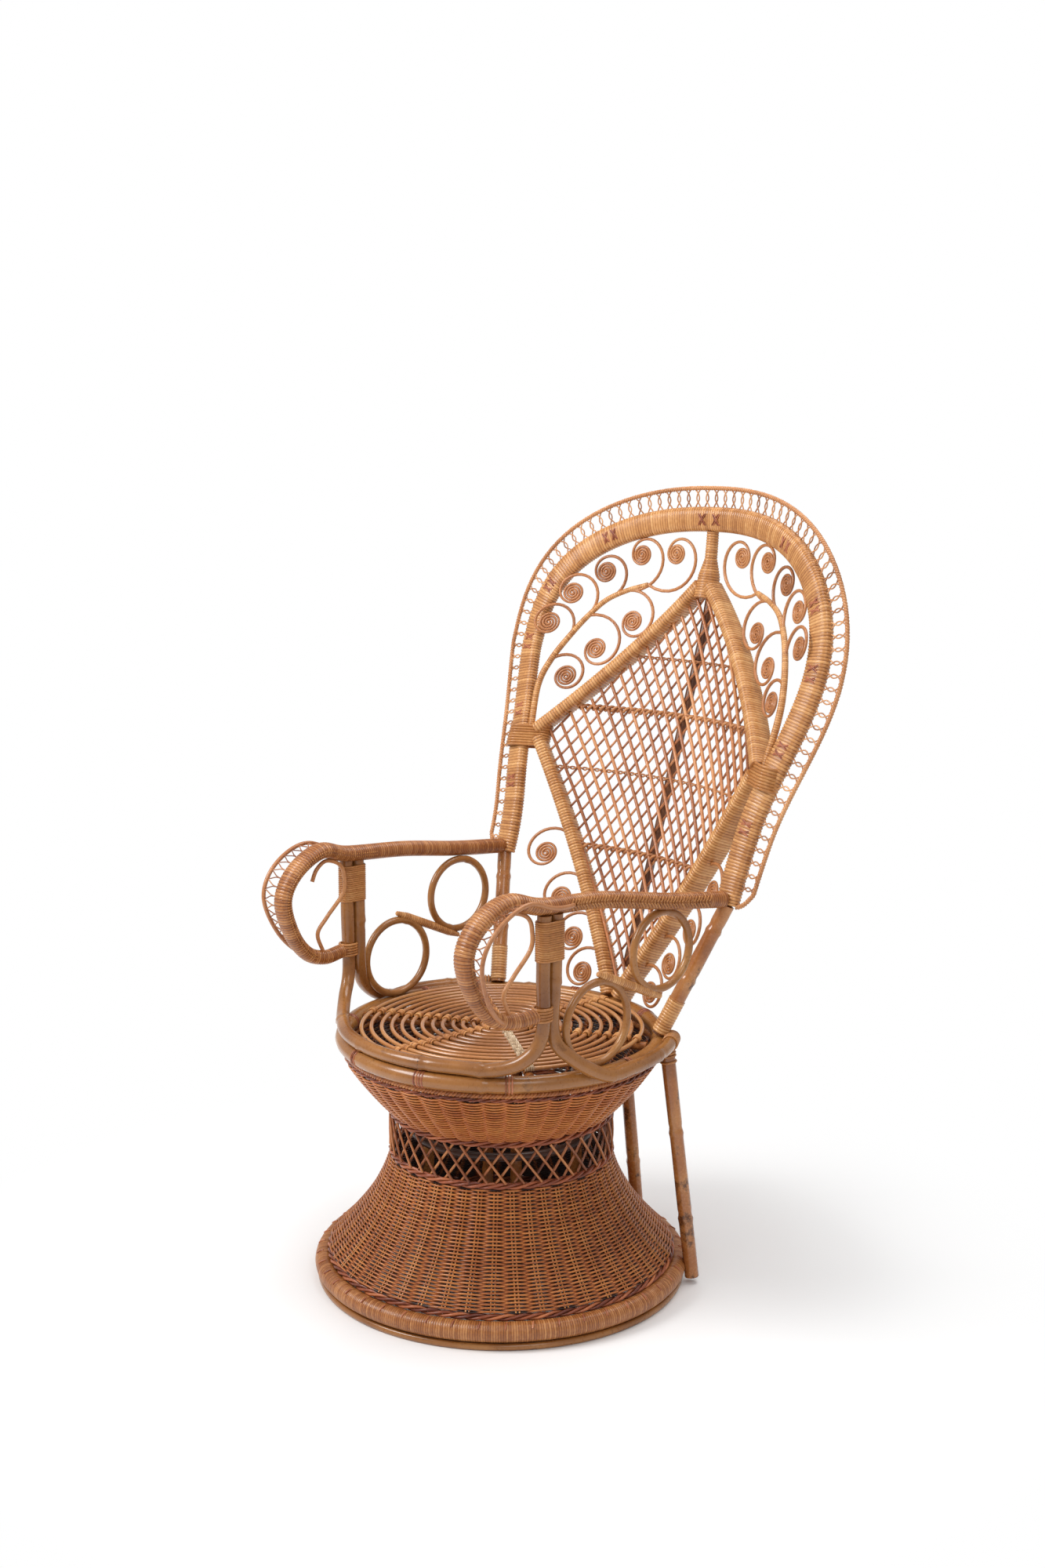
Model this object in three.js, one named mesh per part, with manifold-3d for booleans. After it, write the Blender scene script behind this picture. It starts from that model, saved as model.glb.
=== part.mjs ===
// Peacock armchair of cane and wicker, in millimetres, +Z up, front toward -Y, standing on the floor at Z 0.
import * as THREE from "three";
import { mergeVertices } from "three/addons/utils/BufferGeometryUtils.js";
import Module from "manifold-3d";

const wasm = await Module();
wasm.setup();

// Clearance left between two pieces that touch, and the depth by which a joint is let in before it is coped.
const jointClearance = 0.3;
const jointBite = 1.2;

// Base, from the floor up.
const baseRadius = 290;
const baseRingSection = 15;
const floorHoopHeight = 10;
const floorHoopWidth = 22;
const footBorderSection = 6;
const footBorderInset = 24;
const waistRadius = 170;
const waistBorderSection = 6;
const waistLowerHeight = 202;
const waistUpperHeight = 266;
const skirtWall = 6;
const skirtHollow = 15;
const basketSwell = 4;
const basketColumns = 46;
const basketRelief = 1.3;
const waistRodRadius = 2.6;
const waistRods = 10;
const waistRodTurn = 0.24;
const rimBorderSection = 7.5;
const rimBorderInset = 4.5;
const innerPostRadius = 9;
const innerPostCircle = 122;
const innerHoopSection = 7;

// Seat.
const seatHeight = 382;
const seatHoopRadius = 242.5;
const seatHoopSection = 13;
const rimCaneRadius = 10.5;
const spokeRadius = 7;
const spokeLift = 4;
const seatRodRadius = 4;
const seatLoops = 10;
const seatEyeRadius = 22;

// Arm posts stand beside the rim at this angle from the front, side legs and uprights at the other one.
const postAngle = 62;
const postOut = 17.5;
const postTop = seatHeight + 250;
const postBend = 52;
const postLean = 4;
const rearAngle = 129;
const rearLegRadius = 11;
const rearLegOut = 11.5;
const uprightRadius = 12;
const armJoint = { x: 256, z: seatHeight + 215 };

// Back, drawn on a leaning surface that is bowed in plan.
const backLean = 0.309;
const backCurlStart = 950;
const backCurl = 0.00069;
const backBowLow = 0.00135;
const backBowHigh = 0.00095;
const backBowRise = 705;
const archWidth = 40;
const archDepth = 22;
const archHalfWidth = 317;
const archSetback = 32;
const archSetbackStart = 700;
const archShoulder = 940;
const archTop = 1157;
const kiteCorner = { x: 249, z: 786 };
const kiteApex = 1050;
const kiteFoot = seatHeight + 22;
const kiteMemberWidth = 19;
const kiteMemberDepth = 36;
const kiteClearance = 2;
const apexPostRadius = 10;
const apexWebRadius = 21;
const bindingHalf = { x: 34, y: 18.5, z: 17 };
const bindingOut = 17;
const latticeRodRadius = 2.6;
const latticePitch = 92;
const latticeSlope = 1.5;
const weaverRadius = 3.2;
const stakeRadius = 6;
const stakeLift = 36;
const laceWidth = 33;
const laceFootWidth = 27;
const laceCaneRadius = 4;
const laceStemRadius = 2.2;
const laceStems = 18;

// Scrolls.
const scrollRodRadius = 2.3;
const scrollEye = 4;
const scrollOuter = 18.5;
const scrollTurns = 1.6;
const scrollSwing = 0.8;
const scrollTurnSteps = 5;
const trunkRadius = 5;

// Arms.
const armRadius = 12.5;
const armEndRadius = 11;
const armWiden = 6;
const armRearRise = 10;
const armFront = { x: seatHoopRadius - 25.5, y: -seatHoopRadius - 9.5, z: postTop - 44 };
const armCrown = { x: seatHoopRadius - 20.5, y: -seatHoopRadius + 62.5, z: postTop + 24 };
const armBottom = { x: seatHoopRadius - 18.5, y: -seatHoopRadius + 70.5, z: postTop - 146 };
const armLaceWidth = 31;
const armLaceFlare = 6;
const armLaceStems = 7;
const lowerRingRadius = 60;
const lowerRingAhead = 22;
const upperRingRadius = 58;
const upperRingAhead = 110;
const armRingSection = 6;
const armRingInset = 6.5;
const linkRadius = 7;
const sScrollRadius = 3.2;
const bindingWall = 4;
const bindingLength = 66;

const ringSteps = 24;
const degree = Math.PI / 180;
const vec = (x, y, z) => new THREE.Vector3(x, y, z);

// Turns a three.js geometry into a closed solid with outward faces.
function solidOf(geometry) {
  geometry.deleteAttribute("normal");
  if (geometry.attributes.uv) geometry.deleteAttribute("uv");
  const merged = mergeVertices(geometry, 1e-4);
  const points = merged.attributes.position.array;
  const index = merged.index.array;
  const faces = [];
  let volume = 0;
  const a = vec(0, 0, 0);
  const b = vec(0, 0, 0);
  const c = vec(0, 0, 0);
  for (let i = 0; i < index.length; i += 3) {
    const [p, q, r] = [index[i], index[i + 1], index[i + 2]];
    if (p === q || q === r || r === p) continue;
    faces.push(p, q, r);
    a.fromArray(points, 3 * p);
    b.fromArray(points, 3 * q);
    c.fromArray(points, 3 * r);
    volume += a.dot(b.cross(c));
  }
  if (volume < 0) {
    for (let i = 0; i < faces.length; i += 3) {
      [faces[i + 1], faces[i + 2]] = [faces[i + 2], faces[i + 1]];
    }
  }
  const mesh = new wasm.Mesh({
    numProp: 3,
    vertProperties: new Float32Array(points),
    triVerts: new Uint32Array(faces),
  });
  return new wasm.Manifold(mesh);
}

// Points of a regular section with a corner at the top.
function section(radius, sides) {
  return Array.from({ length: sides }, (_, i) => {
    const angle = Math.PI / 2 + (i * 2 * Math.PI) / sides;
    return new THREE.Vector2(radius * Math.cos(angle), radius * Math.sin(angle));
  });
}

// Solid of revolution about Z of a closed outline given as [radius, height] pairs.
function turned(outline, steps = ringSteps) {
  const profile = outline.map(([radius, height]) => new THREE.Vector2(radius, height));
  profile.push(profile[0].clone());
  const geometry = new THREE.LatheGeometry(profile, steps);
  geometry.rotateX(Math.PI / 2);
  return solidOf(geometry);
}

// Round hoop lying level.
function hoop(radius, height, size, sides = 8, steps = ringSteps) {
  const outline = section(size, sides).map((point) => [radius + point.x, height + point.y]);
  return turned(outline, steps);
}

// Lengthens a run of points at both ends, along the run.
function lengthened(points, amount) {
  if (amount === 0) return points;
  const first = points[0].clone().sub(points[1]).setLength(amount).add(points[0]);
  const last = points[points.length - 1].clone();
  last.add(last.clone().sub(points[points.length - 2]).setLength(amount));
  return [first, ...points.slice(1, -1), last];
}

// Round cane along a curve through the points.
function cane(points, radius, steps, sides = 8, grow = 0) {
  const path = new THREE.CatmullRomCurve3(lengthened(points, grow), false, "centripetal");
  const shape = new THREE.Shape(section(radius + grow, sides));
  return solidOf(new THREE.ExtrudeGeometry(shape, { steps, extrudePath: path, bevelEnabled: false }));
}

// Joins rows of section points, all with as many points, into one closed tube.
function loft(rows) {
  const sides = rows[0].length;
  const points = rows.flat();
  const faces = [];
  for (let i = 0; i + 1 < rows.length; i += 1) {
    for (let j = 0; j < sides; j += 1) {
      const p = i * sides + j;
      const q = i * sides + ((j + 1) % sides);
      faces.push(p, q, q + sides, p, q + sides, p + sides);
    }
  }
  const end = (rows.length - 1) * sides;
  for (let j = 1; j + 1 < sides; j += 1) {
    faces.push(0, j + 1, j, end, end + j, end + j + 1);
  }
  const geometry = new THREE.BufferGeometry();
  geometry.setAttribute("position", new THREE.Float32BufferAttribute(points.flatMap((p) => p.toArray()), 3));
  geometry.setIndex(faces);
  return solidOf(geometry);
}

// Sweeps an outline along points: its first axis lies across the run, its second along the given face normal.
function swept(points, outlineAt, faceAt) {
  const rows = points.map((point, i) => {
    const before = points[Math.max(i - 1, 0)];
    const after = points[Math.min(i + 1, points.length - 1)];
    const along = after.clone().sub(before).normalize();
    const across = faceAt(point, i).clone().cross(along).normalize();
    const face = along.clone().cross(across);
    return outlineAt(i / (points.length - 1)).map((corner) =>
      point.clone().addScaledVector(across, corner.x).addScaledVector(face, corner.y),
    );
  });
  return loft(rows);
}

// Least distance between parts of one run that are more than the skipped length apart along it.
function leastSelfGap(points, radius, skip) {
  const along = [0];
  for (let i = 1; i < points.length; i += 1) along.push(along[i - 1] + points[i].distanceTo(points[i - 1]));
  let least = Infinity;
  for (let i = 0; i < points.length; i += 1) {
    for (let j = i + 1; j < points.length; j += 1) {
      if (along[j] - along[i] > skip) least = Math.min(least, points[i].distanceTo(points[j]));
    }
  }
  return least - 2 * radius;
}

const joined = (solids) => wasm.Manifold.union(solids);
const mirrored = (solid) => solid.mirror([1, 0, 0]);

// Largest body of a solid that a cut may have split.
function largest(solid) {
  const bodies = solid.decompose();
  return bodies.reduce((best, body) => (body.volume() > best.volume() ? body : best));
}

const finishes = {
  wrapped: { color: 0xb98546, roughness: 0.42 },
  cane: { color: 0xb5863f, roughness: 0.35 },
  rod: { color: 0xa56a42, roughness: 0.4 },
  border: { color: 0x8b4a2e, roughness: 0.45 },
  weave: { color: 0xaa6b38, roughness: 0.5 },
};
const chair = new THREE.Group();
chair.name = "peacock_chair";
const seats = new Map();
const pieces = new Map();

// Adds one piece. The builder makes it at its own size or grown by a clearance, and the neighbours that
// it is coped to are taken out of it at their grown size.
function add(name, finish, build, neighbours = []) {
  seats.set(name, () => build(jointClearance));
  let solid = build(0);
  const others = neighbours.map((other) => seats.get(other)());
  if (others.length > 0) solid = largest(solid.subtract(joined(others)));
  pieces.set(name, { solid, finish });
}

// Adds a piece on the right, +X, and its mirror image on the left.
function addPair(name, finish, build, neighbours = []) {
  for (const side of ["right", "left"]) {
    const own = neighbours.map((other) => other.replace("SIDE", side));
    add(`${name}_${side}`, finish, (grow) => (side === "right" ? build(grow) : mirrored(build(grow))), own);
  }
}

// Depth of the back's middle line at a height, and the surface point at a width and a height.
function backMiddle(z) {
  const curl = Math.max(0, z - backCurlStart);
  return seatHoopRadius + backLean * (z - seatHeight - seatHoopSection) - backCurl * curl * curl;
}
function onBack(x, z, ahead = 0) {
  const rise = (z - seatHeight - seatHoopSection) / backBowRise;
  const bow = backBowLow + (backBowHigh - backBowLow) * rise;
  return vec(x, backMiddle(z) - bow * x * x - ahead, z);
}
function backNormal(point) {
  const wide = onBack(point.x + 1, point.z).sub(onBack(point.x - 1, point.z));
  const tall = onBack(point.x, point.z + 1).sub(onBack(point.x, point.z - 1));
  return wide.cross(tall).normalize();
}
function onRim(angle, radius, z) {
  return vec(radius * Math.sin(angle * degree), -radius * Math.cos(angle * degree), z);
}

// Base: floor hoop, wrapped ring, skirt, open waist and upper basket.
const baseRingRadius = baseRadius - baseRingSection;
const baseRingHeight = floorHoopHeight + baseRingSection + jointClearance;
const footBorderRadius = baseRadius - footBorderInset;
const footBorderDrop = baseRingRadius - footBorderRadius;
const footBorderReach = baseRingSection + footBorderSection - jointBite;
const footBorderHeight = baseRingHeight + Math.sqrt(footBorderReach ** 2 - footBorderDrop ** 2);
const rimBorderHeight = seatHeight - seatHoopSection - rimBorderSection + jointBite;
const rimBorderRadius = seatHoopRadius - rimBorderInset;

add("floor_hoop", "cane", (grow) => {
  const half = floorHoopWidth / 2 + grow;
  return turned([
    [baseRingRadius - half, -grow],
    [baseRingRadius + half, -grow],
    [baseRingRadius + half, floorHoopHeight - 3],
    [baseRingRadius + half - 3, floorHoopHeight + grow],
    [baseRingRadius - half + 3, floorHoopHeight + grow],
    [baseRingRadius - half, floorHoopHeight - 3],
  ]);
});
add("base_ring", "wrapped", (grow) => hoop(baseRingRadius, baseRingHeight, baseRingSection + grow));
add(
  "skirt_foot_border",
  "border",
  (grow) => hoop(footBorderRadius, footBorderHeight, footBorderSection + grow, 6),
  ["base_ring"],
);
for (const [name, height] of [["lower", waistLowerHeight], ["upper", waistUpperHeight]]) {
  const build = (grow) => hoop(waistRadius, height, waistBorderSection + grow, 6);
  add(`waist_${name}_border`, "border", build);
}
add("seat_hoop", "cane", (grow) => hoop(seatHoopRadius, seatHeight, seatHoopSection + grow));
add(
  "basket_rim_border",
  "border",
  (grow) => hoop(rimBorderRadius, rimBorderHeight, rimBorderSection + grow, 6),
  ["seat_hoop"],
);

// Woven wall standing between two borders, hollowed by the given sag at half height. Its outside may be
// drawn out into upright columns, one for each pair of stakes.
function wall(low, high, sag, grow, columns = 0) {
  const half = skirtWall / 2 + grow;
  const foot = low.height + low.size + jointClearance;
  const head = high.height - high.size - jointClearance;
  const row = [0, 0.5, 1].map((t) => [
    low.radius + (high.radius - low.radius) * t - sag * 4 * t * (1 - t),
    foot + (head - foot) * t,
  ]);
  if (columns > 0) return columned(row, half, columns);
  const outer = row.map(([radius, height]) => [radius + half, height]);
  const inner = row.map(([radius, height]) => [radius - half, height]).reverse();
  return turned([...outer, ...inner]);
}
function columned(row, half, columns) {
  const outside = row.map(([radius, height]) =>
    Array.from({ length: 2 * columns }, (_, i) => {
      const relief = i % 2 === 0 ? basketRelief : -basketRelief;
      return onRim((180 * i) / columns, radius + half + relief, height);
    }),
  );
  const hollow = row.map(([radius, height]) => [radius - half, height]);
  const [bottom, top] = [hollow[0], hollow[hollow.length - 1]];
  const below = bottom[1] - skirtWall;
  const above = top[1] + skirtWall;
  const bore = [[0, below], [bottom[0], below], ...hollow, [top[0], above], [0, above]];
  return loft(outside).subtract(turned(bore));
}
const footBorder = { radius: footBorderRadius, height: footBorderHeight, size: footBorderSection };
const lowBorder = { radius: waistRadius, height: waistLowerHeight, size: waistBorderSection };
const highBorder = { radius: waistRadius, height: waistUpperHeight, size: waistBorderSection };
const rimBorder = { radius: rimBorderRadius, height: rimBorderHeight, size: rimBorderSection };
add("lower_skirt", "weave", (grow) => wall(footBorder, lowBorder, skirtHollow, grow));
add("upper_basket", "weave", (grow) => wall(highBorder, rimBorder, -basketSwell, grow, basketColumns));

// Open waist: two layers of slanted rods, one outside the other, hanging from a thin hoop.
add(
  "waist_lattice",
  "rod",
  (grow) => {
    const size = waistRodRadius + grow;
    const low = waistLowerHeight + waistBorderSection - jointBite;
    const high = waistUpperHeight - waistBorderSection + jointBite;
    const ends = 2 * waistRodRadius + grow;
    const parts = [hoop(waistRadius, high - ends, ends, 4)];
    for (let i = 0; i < waistRods; i += 1) {
      const angle = (i * 2 * Math.PI) / waistRods;
      for (const turn of [waistRodTurn, -waistRodTurn]) {
        const layer = waistRadius + Math.sign(turn) * (waistRodRadius + jointClearance);
        const from = vec(layer * Math.cos(angle), layer * Math.sin(angle), low - jointBite);
        const to = vec(layer * Math.cos(angle + turn), layer * Math.sin(angle + turn), high - ends);
        parts.push(cane([from, to], size, 1, 4));
      }
    }
    return joined(parts);
  },
  ["waist_lower_border", "waist_upper_border"],
);

// Seat: spokes inside the hoop, a spiral of rods over them, and the rim canes that rise into the arm posts.
const spokeHeight = seatHeight + spokeLift;
add(
  "seat_spokes",
  "cane",
  (grow) => {
    const reach = seatHoopRadius - seatHoopSection + jointBite;
    const bars = [0, 60, 120].map((angle) => {
      const run = [onRim(angle, -reach, spokeHeight), onRim(angle, reach, spokeHeight)];
      return swept(lengthened(run, grow), () => section(spokeRadius + grow, 6), () => vec(0, 0, 1));
    });
    return joined(bars);
  },
  ["seat_hoop"],
);
const coilHeight = spokeHeight + spokeRadius + jointClearance + seatRodRadius;
const coilReach = seatHoopRadius - rimCaneRadius - seatRodRadius - 2 * jointClearance;
const coilSteps = 11;
const coilPoints = Array.from({ length: seatLoops * coilSteps + 1 }, (_, i) => {
  const turn = i / coilSteps;
  return onRim(360 * turn, seatEyeRadius + ((coilReach - seatEyeRadius) * turn) / seatLoops, coilHeight);
});
add("seat_coil", "rod", (grow) =>
  swept(coilPoints, () => section(seatRodRadius + grow, 4), () => vec(0, 0, 1)),
);
console.log("seat_coil least gap to itself, mm:", leastSelfGap(coilPoints, seatRodRadius, 60).toFixed(2));

// Four posts stand inside the base and carry the spokes.
for (let i = 0; i < 4; i += 1) {
  add(
    `inner_post_${i + 1}`,
    "cane",
    (grow) => {
      const angle = [60, 120, 240, 300][i];
      const foot = onRim(angle, innerPostCircle, 0);
      const head = onRim(angle, innerPostCircle, spokeHeight);
      return cane([foot, head], innerPostRadius + grow, 1, 8, grow);
    },
    ["seat_spokes"],
  );
}
const innerHoopRadius = innerPostCircle + innerPostRadius + innerHoopSection - jointBite;
add(
  "inner_waist_hoop",
  "cane",
  (grow) => hoop(innerHoopRadius, (waistLowerHeight + waistUpperHeight) / 2, innerHoopSection + grow, 6, 16),
  ["inner_post_1", "inner_post_2", "inner_post_3", "inner_post_4"],
);

// Rim canes. The front one runs from post to post, each side one from its post to the rear leg.
const rimHeight = seatHeight + seatHoopSection + rimCaneRadius - jointBite / 2;
const sideHeight = seatHeight + seatHoopSection / 2;
const sideRadius = seatHoopRadius + seatHoopSection + rimCaneRadius - 3 * jointBite;
const postGap = (rimCaneRadius + jointClearance) * 2;
const postX = (seatHoopRadius + postOut) * Math.sin(postAngle * degree);
const postY = -(seatHoopRadius + postOut) * Math.cos(postAngle * degree);
add(
  "front_rim_cane",
  "cane",
  (grow) => {
    const front = [-36, -24, -12, 0, 12, 24, 36].map((angle) => onRim(angle, seatHoopRadius, rimHeight));
    const rise = (side) => [
      vec(side * (postX + postLean), postY, postTop),
      vec(side * (postX + postLean / 2), postY, (postTop + rimHeight + postBend) / 2),
      vec(side * postX, postY, rimHeight + postBend),
      onRim(side * (postAngle - 6), seatHoopRadius + postOut * 0.75, rimHeight + postBend * 0.28),
      onRim(side * (postAngle - 16), seatHoopRadius + postOut * 0.25, rimHeight),
    ];
    return cane([...rise(-1), ...front, ...rise(1).reverse()], rimCaneRadius + grow, 28, 6, grow);
  },
  ["seat_hoop"],
);
// Three legs lean from the base ring to the underside of the hoop, two at the sides and one behind.
function rearLeg(angle, grow) {
  const foot = onRim(angle, baseRadius + rearLegRadius - jointBite, floorHoopHeight);
  const head = onRim(angle, seatHoopRadius + rearLegOut, seatHeight - jointBite);
  return cane([foot, head], rearLegRadius + grow, 2, 8, grow);
}
const legNeighbours = ["base_ring", "seat_hoop", "floor_hoop", "basket_rim_border", "upper_basket"];
addPair("rear_leg", "cane", (grow) => rearLeg(rearAngle, grow), legNeighbours);
add("rear_leg_centre", "cane", (grow) => rearLeg(180, grow), legNeighbours);
addPair(
  "side_cane",
  "cane",
  (grow) => {
    const run = [84, 96, 108, 120, rearAngle + 2].map((angle) => onRim(angle, sideRadius, sideHeight));
    const rise = [
      vec(postX + postLean, postY + postGap, postTop),
      vec(postX + postLean / 2, postY + postGap, (postTop + rimHeight + postBend) / 2),
      vec(postX, postY + postGap, rimHeight + postBend),
      onRim(postAngle + 10, sideRadius - 5, rimHeight + postBend * 0.3),
    ];
    return cane([...rise, ...run], rimCaneRadius + grow, 17, 6, grow);
  },
  ["front_rim_cane", "seat_hoop", "rear_leg_SIDE"],
);
addPair(
  "upright",
  "cane",
  (grow) => {
    const foot = onRim(rearAngle, seatHoopRadius, seatHeight + seatHoopSection - jointBite);
    return cane([foot, onBack(armJoint.x, armJoint.z)], uprightRadius + grow, 2, 8, grow);
  },
  ["seat_hoop", "rear_leg_SIDE", "side_cane_SIDE"],
);

// Arch of the back, a flat wrapped band from one arm joint round to the other.
const archRise = archTop - archShoulder;
function archPoint(t) {
  const u = Math.abs(t);
  const side = Math.sign(t);
  if (u > 0.5) {
    const drop = (u - 0.5) * 2;
    const z = archShoulder + (armJoint.z - archShoulder) * drop;
    const ease = Math.sin((Math.PI / 2) * drop ** 0.8) ** 2;
    return { x: side * (archHalfWidth + (armJoint.x - archHalfWidth) * ease), z };
  }
  const angle = u * Math.PI;
  const power = 0.85;
  return {
    x: side * archHalfWidth * Math.sin(angle) ** power,
    z: archShoulder + archRise * Math.cos(angle) ** power,
  };
}
const archSteps = 28;
const archRun = Array.from({ length: archSteps + 1 }, (_, i) => archPoint((2 * i) / archSteps - 1));
// The arch stands back from the surface at its widest, and meets it at its top and at its feet.
function onArch(x, z) {
  const share = (z - archSetbackStart) / (archTop - archSetbackStart);
  const setback = archSetback * Math.sin(Math.PI * Math.min(1, Math.max(0, share))) ** 2;
  return onBack(x, z, -setback);
}
const archLine = archRun.map((place) => onArch(place.x, place.z));

// The band looks straight forward, tipped by no more than the lean of the back.
const archFace = (point) => vec(0, -1, (backMiddle(point.z + 1) - backMiddle(point.z - 1)) / 2);
function bandOutline(width, depth, grow) {
  const [w, d] = [width / 2 + grow, depth / 2 + grow];
  const corners = [[w, -0.45 * d], [w, 0.45 * d], [0.6 * w, d], [-0.6 * w, d]];
  const others = corners.map(([x, y]) => [-x, -y]);
  return [...corners, ...others].map(([x, y]) => new THREE.Vector2(x, y));
}
add(
  "arch_frame",
  "wrapped",
  (grow) => swept(lengthened(archLine, grow), () => bandOutline(archWidth, archDepth, grow), archFace),
  ["upright_right", "upright_left"],
);

// Kite panel: four wrapped members, the side bindings, the post above the apex and the rod lattice.
const kiteInset = kiteMemberWidth / 2 + kiteClearance;

// A member is two canes, one behind the other, under one wrapping: deeper than it is wide.
function kiteMember(run, grow) {
  const outline = () => bandOutline(kiteMemberWidth, kiteMemberDepth, grow);
  return swept(lengthened(run, grow), outline, backNormal);
}
addPair(
  "kite_lower",
  "wrapped",
  (grow) => {
    const run = [0, 0.25, 0.5, 0.75, 1].map((t) => {
      const x = kiteInset + (kiteCorner.x - kiteInset) * t;
      return onBack(x, kiteFoot + (kiteCorner.z - kiteFoot) * t);
    });
    run[0] = vec(kiteInset, seatHoopRadius, seatHeight + seatHoopSection - jointBite);
    return kiteMember(run, grow);
  },
  ["seat_hoop", "arch_frame"],
);
add(
  "apex_post",
  "wrapped",
  (grow) => {
    const low = kiteApex - apexWebRadius;
    const top = archTop - archWidth / 2 + jointBite;
    const heights = [0, 0.35, 0.6, 1].map((t) => low + (top - low) * t);
    const sizes = [apexWebRadius, apexWebRadius * 0.85, apexPostRadius, apexPostRadius];
    const run = lengthened(heights.map((z) => onBack(0, z)), grow);
    return swept(
      run,
      (t) => section(sizes[Math.round(t * 3)] + grow, 8),
      () => vec(0, -1, 0),
    );
  },
  ["arch_frame"],
);
addPair(
  "kite_upper",
  "wrapped",
  (grow) => {
    const run = [0, 0.25, 0.5, 0.75, 1].map((t) => {
      const z = kiteCorner.z + kiteInset + (kiteApex - kiteCorner.z - kiteInset) * t;
      return onBack(kiteCorner.x + 6 - (kiteCorner.x + 6 - apexPostRadius) * t, z);
    });
    return kiteMember(run, grow);
  },
  ["arch_frame", "apex_post", "kite_lower_SIDE"],
);
addPair(
  "kite_binding",
  "wrapped",
  (grow) => {
    const middle = onBack(kiteCorner.x + bindingOut, kiteCorner.z);
    const normal = backNormal(middle);
    const half = bindingHalf.x + grow;
    const run = [-1, 0, 1].map((t) => onBack(middle.x + half * t, kiteCorner.z));
    return swept(run, () => bandOutline(2 * bindingHalf.z, 2 * bindingHalf.y, grow), () => normal);
  },
  ["arch_frame", "kite_upper_SIDE", "kite_lower_SIDE"],
);
const kiteMembers = ["kite_lower_right", "kite_lower_left", "kite_upper_right", "kite_upper_left"];
const kiteNeighbours = [...kiteMembers, "apex_post", "kite_binding_right", "kite_binding_left", "seat_hoop"];

// Half width of the kite opening at a height.
function kiteHalf(z) {
  const above = (kiteApex - z) / (kiteApex - kiteCorner.z);
  const below = (z - kiteFoot) / (kiteCorner.z - kiteFoot);
  return kiteCorner.x * Math.max(0, Math.min(above, below));
}
add(
  "kite_lattice",
  "rod",
  (grow) => {
    const parts = [];
    const reach = (kiteApex - kiteFoot) / latticeSlope / 2 + kiteCorner.x;
    const rods = Math.floor(reach / latticePitch);
    const middle = (kiteApex + kiteFoot) / 2;
    for (let i = -rods; i <= rods; i += 1) {
      for (const side of [1, -1]) {
        const inside = [];
        for (let z = kiteFoot; z <= kiteApex; z += 4) {
          const x = i * latticePitch + (side * (z - middle)) / latticeSlope;
          if (Math.abs(x) <= kiteHalf(z)) inside.push([x, z]);
        }
        if (inside.length < 12) continue;
        const last = inside.length - 1;
        const ahead = side * (latticeRodRadius + jointClearance / 2);
        const run = [0, 0.33, 0.67, 1].map((t) => onBack(...inside[Math.round(t * last)], ahead));
        parts.push(cane(run, latticeRodRadius + grow, 3, 4));
      }
    }
    for (const share of [0.16, 0.33, 0.52, 0.7, 0.86]) {
      const z = kiteFoot + (kiteApex - kiteFoot) * share;
      const half = kiteHalf(z);
      const run = [-1, -0.5, 0, 0.5, 1].map((t) => onBack(half * t, z));
      parts.push(cane(run, weaverRadius + grow, 4, 4));
    }
    return joined(parts);
  },
  kiteNeighbours,
);
add(
  "centre_stake",
  "cane",
  (grow) => {
    const behind = -(stakeRadius + weaverRadius + jointClearance);
    const [low, high] = [kiteFoot + stakeLift, kiteApex - apexWebRadius];
    const run = [0, 0.27, 0.57, 1].map((t) => onBack(0, low + (high - low) * t, behind));
    return cane(run, stakeRadius + grow, 6, 6, grow);
  },
  [...kiteNeighbours, "kite_lattice"],
);

// Scroll: leaves its carrier at the start point, swings round its centre and winds in.
function scrollPoints(centre, start, sense) {
  const from = Math.atan2(start.z - centre.z, start.x - centre.x);
  const first = Math.hypot(start.x - centre.x, start.z - centre.z);
  const whole = scrollSwing + scrollTurns;
  const steps = Math.round(whole * scrollTurnSteps);
  return Array.from({ length: steps + 1 }, (_, i) => {
    const turn = (i / steps) * whole;
    const left = Math.max(0, 1 - turn / scrollSwing);
    const wound = Math.max(0, turn - scrollSwing) / scrollTurns;
    const radius = scrollOuter + (first - scrollOuter) * left ** 1.5 - (scrollOuter - scrollEye) * wound;
    const angle = from + sense * turn * 2 * Math.PI;
    return onBack(centre.x + radius * Math.cos(angle), centre.z + radius * Math.sin(angle));
  });
}
const scrollGaps = [];
function scroll(centre, start, sense, grow) {
  const points = scrollPoints(centre, start, sense);
  if (grow === 0) scrollGaps.push(leastSelfGap(points, scrollRodRadius, 3 * scrollOuter));
  return swept(points, () => section(scrollRodRadius + grow, 4), backNormal);
}

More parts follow.
